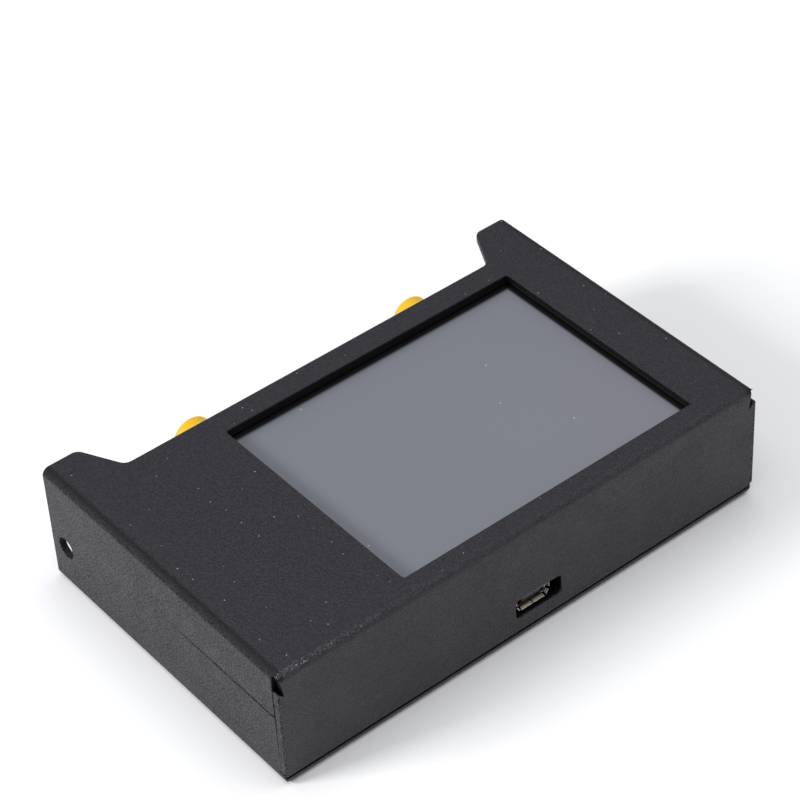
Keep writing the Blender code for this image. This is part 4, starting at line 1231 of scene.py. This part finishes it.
def build_caps(ports):
    """Two push-on dust caps: a rounded closed end and a rolled open lip."""
    for side in SIDES:
        low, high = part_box("dust_cap_" + side)
        centre = Vector(((low.x + high.x) / 2, 0, (low.z + high.z) / 2))
        rim = (high.x - low.x) / 2
        body = rim - 0.12 * MM
        inner = CAP_BORE
        roof = high.y - 1.2 * MM
        profile = (
            [(0, high.y - 0.12 * MM), (0.5 * MM, high.y - 0.12 * MM), (0.75 * MM, high.y)]
            + rounded([(1.2 * MM, high.y), (body, high.y), (body, low.y + 1.1 * MM)],
                      ports.cap_rounding, 8)[1:]
            + rounded([(body, low.y + 1.1 * MM), (rim, low.y + 0.9 * MM), (rim, low.y), (inner, low.y),
                       (inner, roof)], 0.15 * MM, 3)[1:]
            + [(inner - 0.3 * MM, roof), (0, roof)]
        )
        bm = turned(profile, centre, 96)
        add_piece(bm, "yellow_dust_cap_" + side, "dust_cap_" + side, "yellow_polyethylene",
                  ("dust_cap_" + side,), 0.0, 50)


# ---------------------------------------------------------------- keys and power switch


def build_keys():
    """Three push keys with a dished tip."""
    for key in KEYS:
        low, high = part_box("key_" + key)
        centre = Vector(((low.x + high.x) / 2, 0, (low.z + high.z) / 2))
        radius = 1.7 * MM
        collar = (high.x - low.x) / 2
        collar_rear = KEY_COLLAR_REAR
        collar_front = collar_rear - 0.6 * MM
        profile = (
            [(0, high.y - 0.15 * MM), (0.6 * MM, high.y - 0.12 * MM), (1.05 * MM, high.y - 0.02 * MM)]
            + rounded([(1.15 * MM, high.y), (radius, high.y), (radius, collar_rear)], 0.35 * MM, 5)
            + [(collar - 0.1 * MM, collar_rear), (collar, collar_rear - 0.1 * MM), (collar, collar_front)]
            + [(0.9 * MM, collar_front), (0.9 * MM, low.y + 0.1 * MM), (0.8 * MM, low.y), (0, low.y)]
        )
        bm = turned(profile, centre, 40)
        add_piece(bm, "push_key_" + key, "key_" + key, "key_plastic", ("key_" + key,), 0.0, 40)


def build_power_knob():
    """The slide switch's knob: a short bar whose outer end carries three grip ridges."""
    low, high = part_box("power_slider")
    bm = bmesh.new()
    box_between(bm, low, high)
    step = (high.x - low.x) / 7
    for index in range(1, 7):
        end = [face for face in bm.faces if face.normal.y > 0.5]
        slice_faces(bm, end, Vector((low.x + step * index, 0, 0)), X)
    grooves = [
        face for face in bm.faces
        if face.normal.y > 0.5 and int((face.calc_center_median().x - low.x) / step) % 2 == 1
    ]
    for face in grooves:
        pushed = bmesh.ops.extrude_discrete_faces(bm, faces=[face])["faces"][0]
        bmesh.ops.translate(bm, verts=pushed.verts, vec=(0, -0.35 * MM, 0))
    add_piece(bm, "switch_knob", "power_slider", "black_nylon", ("power_slider",), 0.05 * MM)


# ---------------------------------------------------------------- screws


def build_screws():
    """Countersunk screws under the case, each with a cross recess in its head."""
    for corner in CORNERS:
        low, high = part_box("bottom_screw_" + corner)
        x, y = (low.x + high.x) / 2, (low.y + high.y) / 2
        head = (high.x - low.x) / 2
        shank = SCREW_SHANK
        neck = 1.2 * MM
        steps = 40
        thread = [(shank, neck + (high.z - 0.2 * MM - neck) * i / steps) for i in range(steps + 1)]
        profile = [(0, low.z), (head - 0.08 * MM, low.z), (head, low.z + 0.06 * MM)] + thread
        profile += [(shank - 0.2 * MM, high.z), (0, high.z)]
        origin = Vector((0, 0, 0))
        bm = turned(profile, origin, 32)
        cut_thread(bm, origin, shank, neck + 0.2 * MM, high.z - 0.2 * MM, 0.45 * MM, 0.22 * MM)
        cut_cross(bm, low.z)
        stand = Matrix.Translation((x, y, 0)) @ Matrix.Rotation(math.pi / 2, 4, "X")
        bmesh.ops.transform(bm, matrix=stand, verts=bm.verts)
        add_piece(bm, "case_screw_" + corner, "case", "zinc_steel", ("bottom_screw_" + corner,), 0.0, 40)


def cut_cross(bm, level):
    """Sink a cross recess into the head's flat face, which looks along -Y before the screw stands up."""
    arm, width, depth = 1.3 * MM, 0.28 * MM, 0.8 * MM
    head = [
        face for face in bm.faces
        if face.normal.y < -0.99 and face.calc_center_median().y < level + NEAR
    ]
    bmesh.ops.dissolve_faces(bm, faces=head)
    for axis in (X, Z):
        for place in (-arm, -width, width, arm):
            faces = [face for face in bm.faces if face.normal.y < -0.99]
            slice_faces(bm, faces, axis * place, axis)
    cross = []
    for face in bm.faces:
        centre = face.calc_center_median()
        near, far = sorted((abs(centre.x), abs(centre.z)))
        if face.normal.y < -0.99 and centre.y < level + NEAR and near < width and far < arm:
            cross.append(face)
    sunk = bmesh.ops.extrude_face_region(bm, geom=cross)["geom"]
    verts = [part for part in sunk if isinstance(part, bmesh.types.BMVert)]
    bmesh.ops.delete(bm, geom=cross, context="FACES")
    bmesh.ops.translate(bm, verts=verts, vec=(0, depth, 0))
    bmesh.ops.scale(bm, vec=(0.45, 1, 0.45), verts=verts)
    bmesh.ops.recalc_face_normals(bm, faces=bm.faces)


# ---------------------------------------------------------------- inside


INSIDE = {
    "lcd_panel": "lcd_glass", "lcd_backlight": "tinned_steel", "display_board": "solder_mask",
    "display_flex": "polyimide_film", "display_header": "black_nylon", "display_socket": "black_nylon",
    "main_board": "solder_mask", "processor_chip": "chip_epoxy", "battery_cell": "battery_foil",
    "battery_plug": "white_nylon", "battery_socket": "white_nylon", "battery_lead_red": "red_pvc",
    "battery_lead_black": "black_pvc", "power_switch_body": "tinned_steel",
}
INSIDE_GROUPS = (
    ("synthesizer_chip_", SIDES, "chip_epoxy"), ("shield_can_", SIDES, "tinned_steel"),
    ("key_switch_", KEYS, "black_nylon"), ("lower_standoff_", CORNERS, "brass"),
    ("upper_standoff_", CORNERS, "brass"), ("display_screw_", CORNERS, "zinc_steel"),
)


def finish_inside():
    """Finishes of the pieces inside the case, which keep their CAD shapes."""
    for node, slot in INSIDE.items():
        finish_node(node, slot)
    for stem, places, slot in INSIDE_GROUPS:
        for place in places:
            finish_node(stem + place, slot)


# ---------------------------------------------------------------- stage


def build_floor(stage):
    """A pale, matt floor with a trace of cloudiness."""
    bm = bmesh.new()
    bmesh.ops.create_grid(bm, x_segments=4, y_segments=4, size=3.0)
    mesh = bpy.data.meshes.new("floor")
    bm.to_mesh(mesh)
    bm.free()
    material, tree, shader, place = start_material("pale_matt_floor", Roughness=0.85)
    cloud = noise(tree, place, 300.0, 2.0)
    set_colour(tree, shader, cloud, (*stage.floor_colour, 1.0), linear("#fdfdfd"))
    mesh.materials.append(material)
    floor = place_object("floor", mesh)


def add_softbox(name, place, size, power):
    """A square softbox that aims at the middle of the case."""
    light = bpy.data.lights.new(name, "AREA")
    light.shape = "RECTANGLE"
    light.size = light.size_y = size
    light.energy = power
    lamp = place_object(name, light)
    lamp.location = place
    target = Vector((0, 0, 10 * MM))
    lamp.rotation_euler = (target - Vector(place)).to_track_quat("-Z", "Y").to_euler()


def add_camera(stage):
    turn, rise = stage.azimuth, stage.elevation
    back = Vector((math.sin(turn) * math.cos(rise), -math.cos(turn) * math.cos(rise), math.sin(rise)))
    right = (-back).cross(Z).normalized()
    up = right.cross(-back)
    level = Matrix((right, up, back)).transposed().to_4x4()
    data = bpy.data.cameras.new("camera")
    data.lens = stage.lens
    data.clip_start = 0.01
    camera = place_object("camera", data)
    place = Matrix.Translation(Vector(stage.target) + back * stage.distance)
    camera.matrix_world = place @ level @ Matrix.Rotation(stage.roll, 4, "Z")
    bpy.context.scene.camera = camera


def build_stage(stage):
    build_floor(stage)
    add_softbox("key_softbox", (-0.95, 0.35, 0.60), 0.35, 9.0)
    add_softbox("overhead_softbox", (0.02, -0.12, 0.95), 1.0, 5.7)
    world = bpy.data.worlds.new("studio")
    world.use_nodes = True
    background = world.node_tree.nodes["Background"]
    background.inputs["Color"].default_value = linear("#eceef4")
    background.inputs["Strength"].default_value = 0.42
    bpy.context.scene.world = world
    bpy.context.scene.view_settings.view_transform = "Standard"
    add_camera(stage)


# ---------------------------------------------------------------- operators


class ANALYZER_OT_stage(bpy.types.Operator):
    """Set the floor, the soft studio lights and the camera"""
    bl_idname = "analyzer.stage"
    bl_label = "Stage"

    def execute(self, context):
        build_stage(context.scene.analyzer_stage)
        return {"FINISHED"}


class ANALYZER_OT_case(bpy.types.Operator):
    """Fold the steel case with its ears, window, slot, seams and notches"""
    bl_idname = "analyzer.case"
    bl_label = "Folded Case"

    def execute(self, context):
        build_case(context.scene.analyzer_case, context.scene.analyzer_screen)
        return {"FINISHED"}


class ANALYZER_OT_rear_wall(bpy.types.Operator):
    """Fit the plate that closes the rear between the ears"""
    bl_idname = "analyzer.rear_wall"
    bl_label = "Rear Wall"

    def execute(self, context):
        build_rear_wall()
        return {"FINISHED"}


class ANALYZER_OT_screen(bpy.types.Operator):
    """Lay the touch glass, its film and the foam seal under the window"""
    bl_idname = "analyzer.screen"
    bl_label = "Screen"

    def execute(self, context):
        build_screen(context.scene.analyzer_screen)
        return {"FINISHED"}


class ANALYZER_OT_socket(bpy.types.Operator):
    """Press the charging socket and fill it with its tongue and contacts"""
    bl_idname = "analyzer.socket"
    bl_label = "Charging Socket"

    def execute(self, context):
        build_socket()
        return {"FINISHED"}


class ANALYZER_OT_ports(bpy.types.Operator):
    """Turn both coaxial ports with their washers and nuts"""
    bl_idname = "analyzer.ports"
    bl_label = "Coaxial Ports"

    def execute(self, context):
        for side in SIDES:
            build_port(side, context.scene.analyzer_ports)
        return {"FINISHED"}


class ANALYZER_OT_caps(bpy.types.Operator):
    """Push a yellow dust cap on each port"""
    bl_idname = "analyzer.caps"
    bl_label = "Dust Caps"

    def execute(self, context):
        build_caps(context.scene.analyzer_ports)
        return {"FINISHED"}


class ANALYZER_OT_keys(bpy.types.Operator):
    """Fit the three push keys and the power switch's knob"""
    bl_idname = "analyzer.keys"
    bl_label = "Keys and Switch"

    def execute(self, context):
        build_keys()
        build_power_knob()
        return {"FINISHED"}


class ANALYZER_OT_screws(bpy.types.Operator):
    """Drive the countersunk screws into the bottom of the case"""
    bl_idname = "analyzer.screws"
    bl_label = "Screws"

    def execute(self, context):
        build_screws()
        return {"FINISHED"}


class ANALYZER_OT_inside(bpy.types.Operator):
    """Finish the boards, battery and fasteners inside the case"""
    bl_idname = "analyzer.inside"
    bl_label = "Inside"

    def execute(self, context):
        finish_inside()
        return {"FINISHED"}


OPERATORS = (
    ANALYZER_OT_stage, ANALYZER_OT_case, ANALYZER_OT_rear_wall, ANALYZER_OT_screen, ANALYZER_OT_socket,
    ANALYZER_OT_ports, ANALYZER_OT_caps, ANALYZER_OT_keys, ANALYZER_OT_screws, ANALYZER_OT_inside,
)


class ANALYZER_PT_build(bpy.types.Panel):
    bl_idname = "ANALYZER_PT_build"
    bl_label = "Vector Network Analyzer"
    bl_space_type = "VIEW_3D"
    bl_region_type = "UI"
    bl_category = "Analyzer"

    def draw(self, context):
        for operator in OPERATORS:
            self.layout.operator(operator.bl_idname)


SETTINGS = {
    "analyzer_case": AnalyzerCaseSettings,
    "analyzer_screen": AnalyzerScreenSettings,
    "analyzer_ports": AnalyzerPortSettings,
    "analyzer_stage": AnalyzerStageSettings,
}


def register():
    for kind in (*SETTINGS.values(), *OPERATORS, ANALYZER_PT_build):
        bpy.utils.register_class(kind)
    for name, kind in SETTINGS.items():
        setattr(bpy.types.Scene, name, PointerProperty(type=kind))


def unregister():
    for name in SETTINGS:
        delattr(bpy.types.Scene, name)
    for kind in (ANALYZER_PT_build, *reversed(OPERATORS), *SETTINGS.values()):
        bpy.utils.unregister_class(kind)


STEPS = (
    "stage", "case", "rear_wall", "screen", "socket", "ports", "caps", "keys", "screws", "inside",
)


def main():
    register()
    for step in STEPS:
        getattr(bpy.ops.analyzer, step)()


if __name__ == "__main__":
    main()
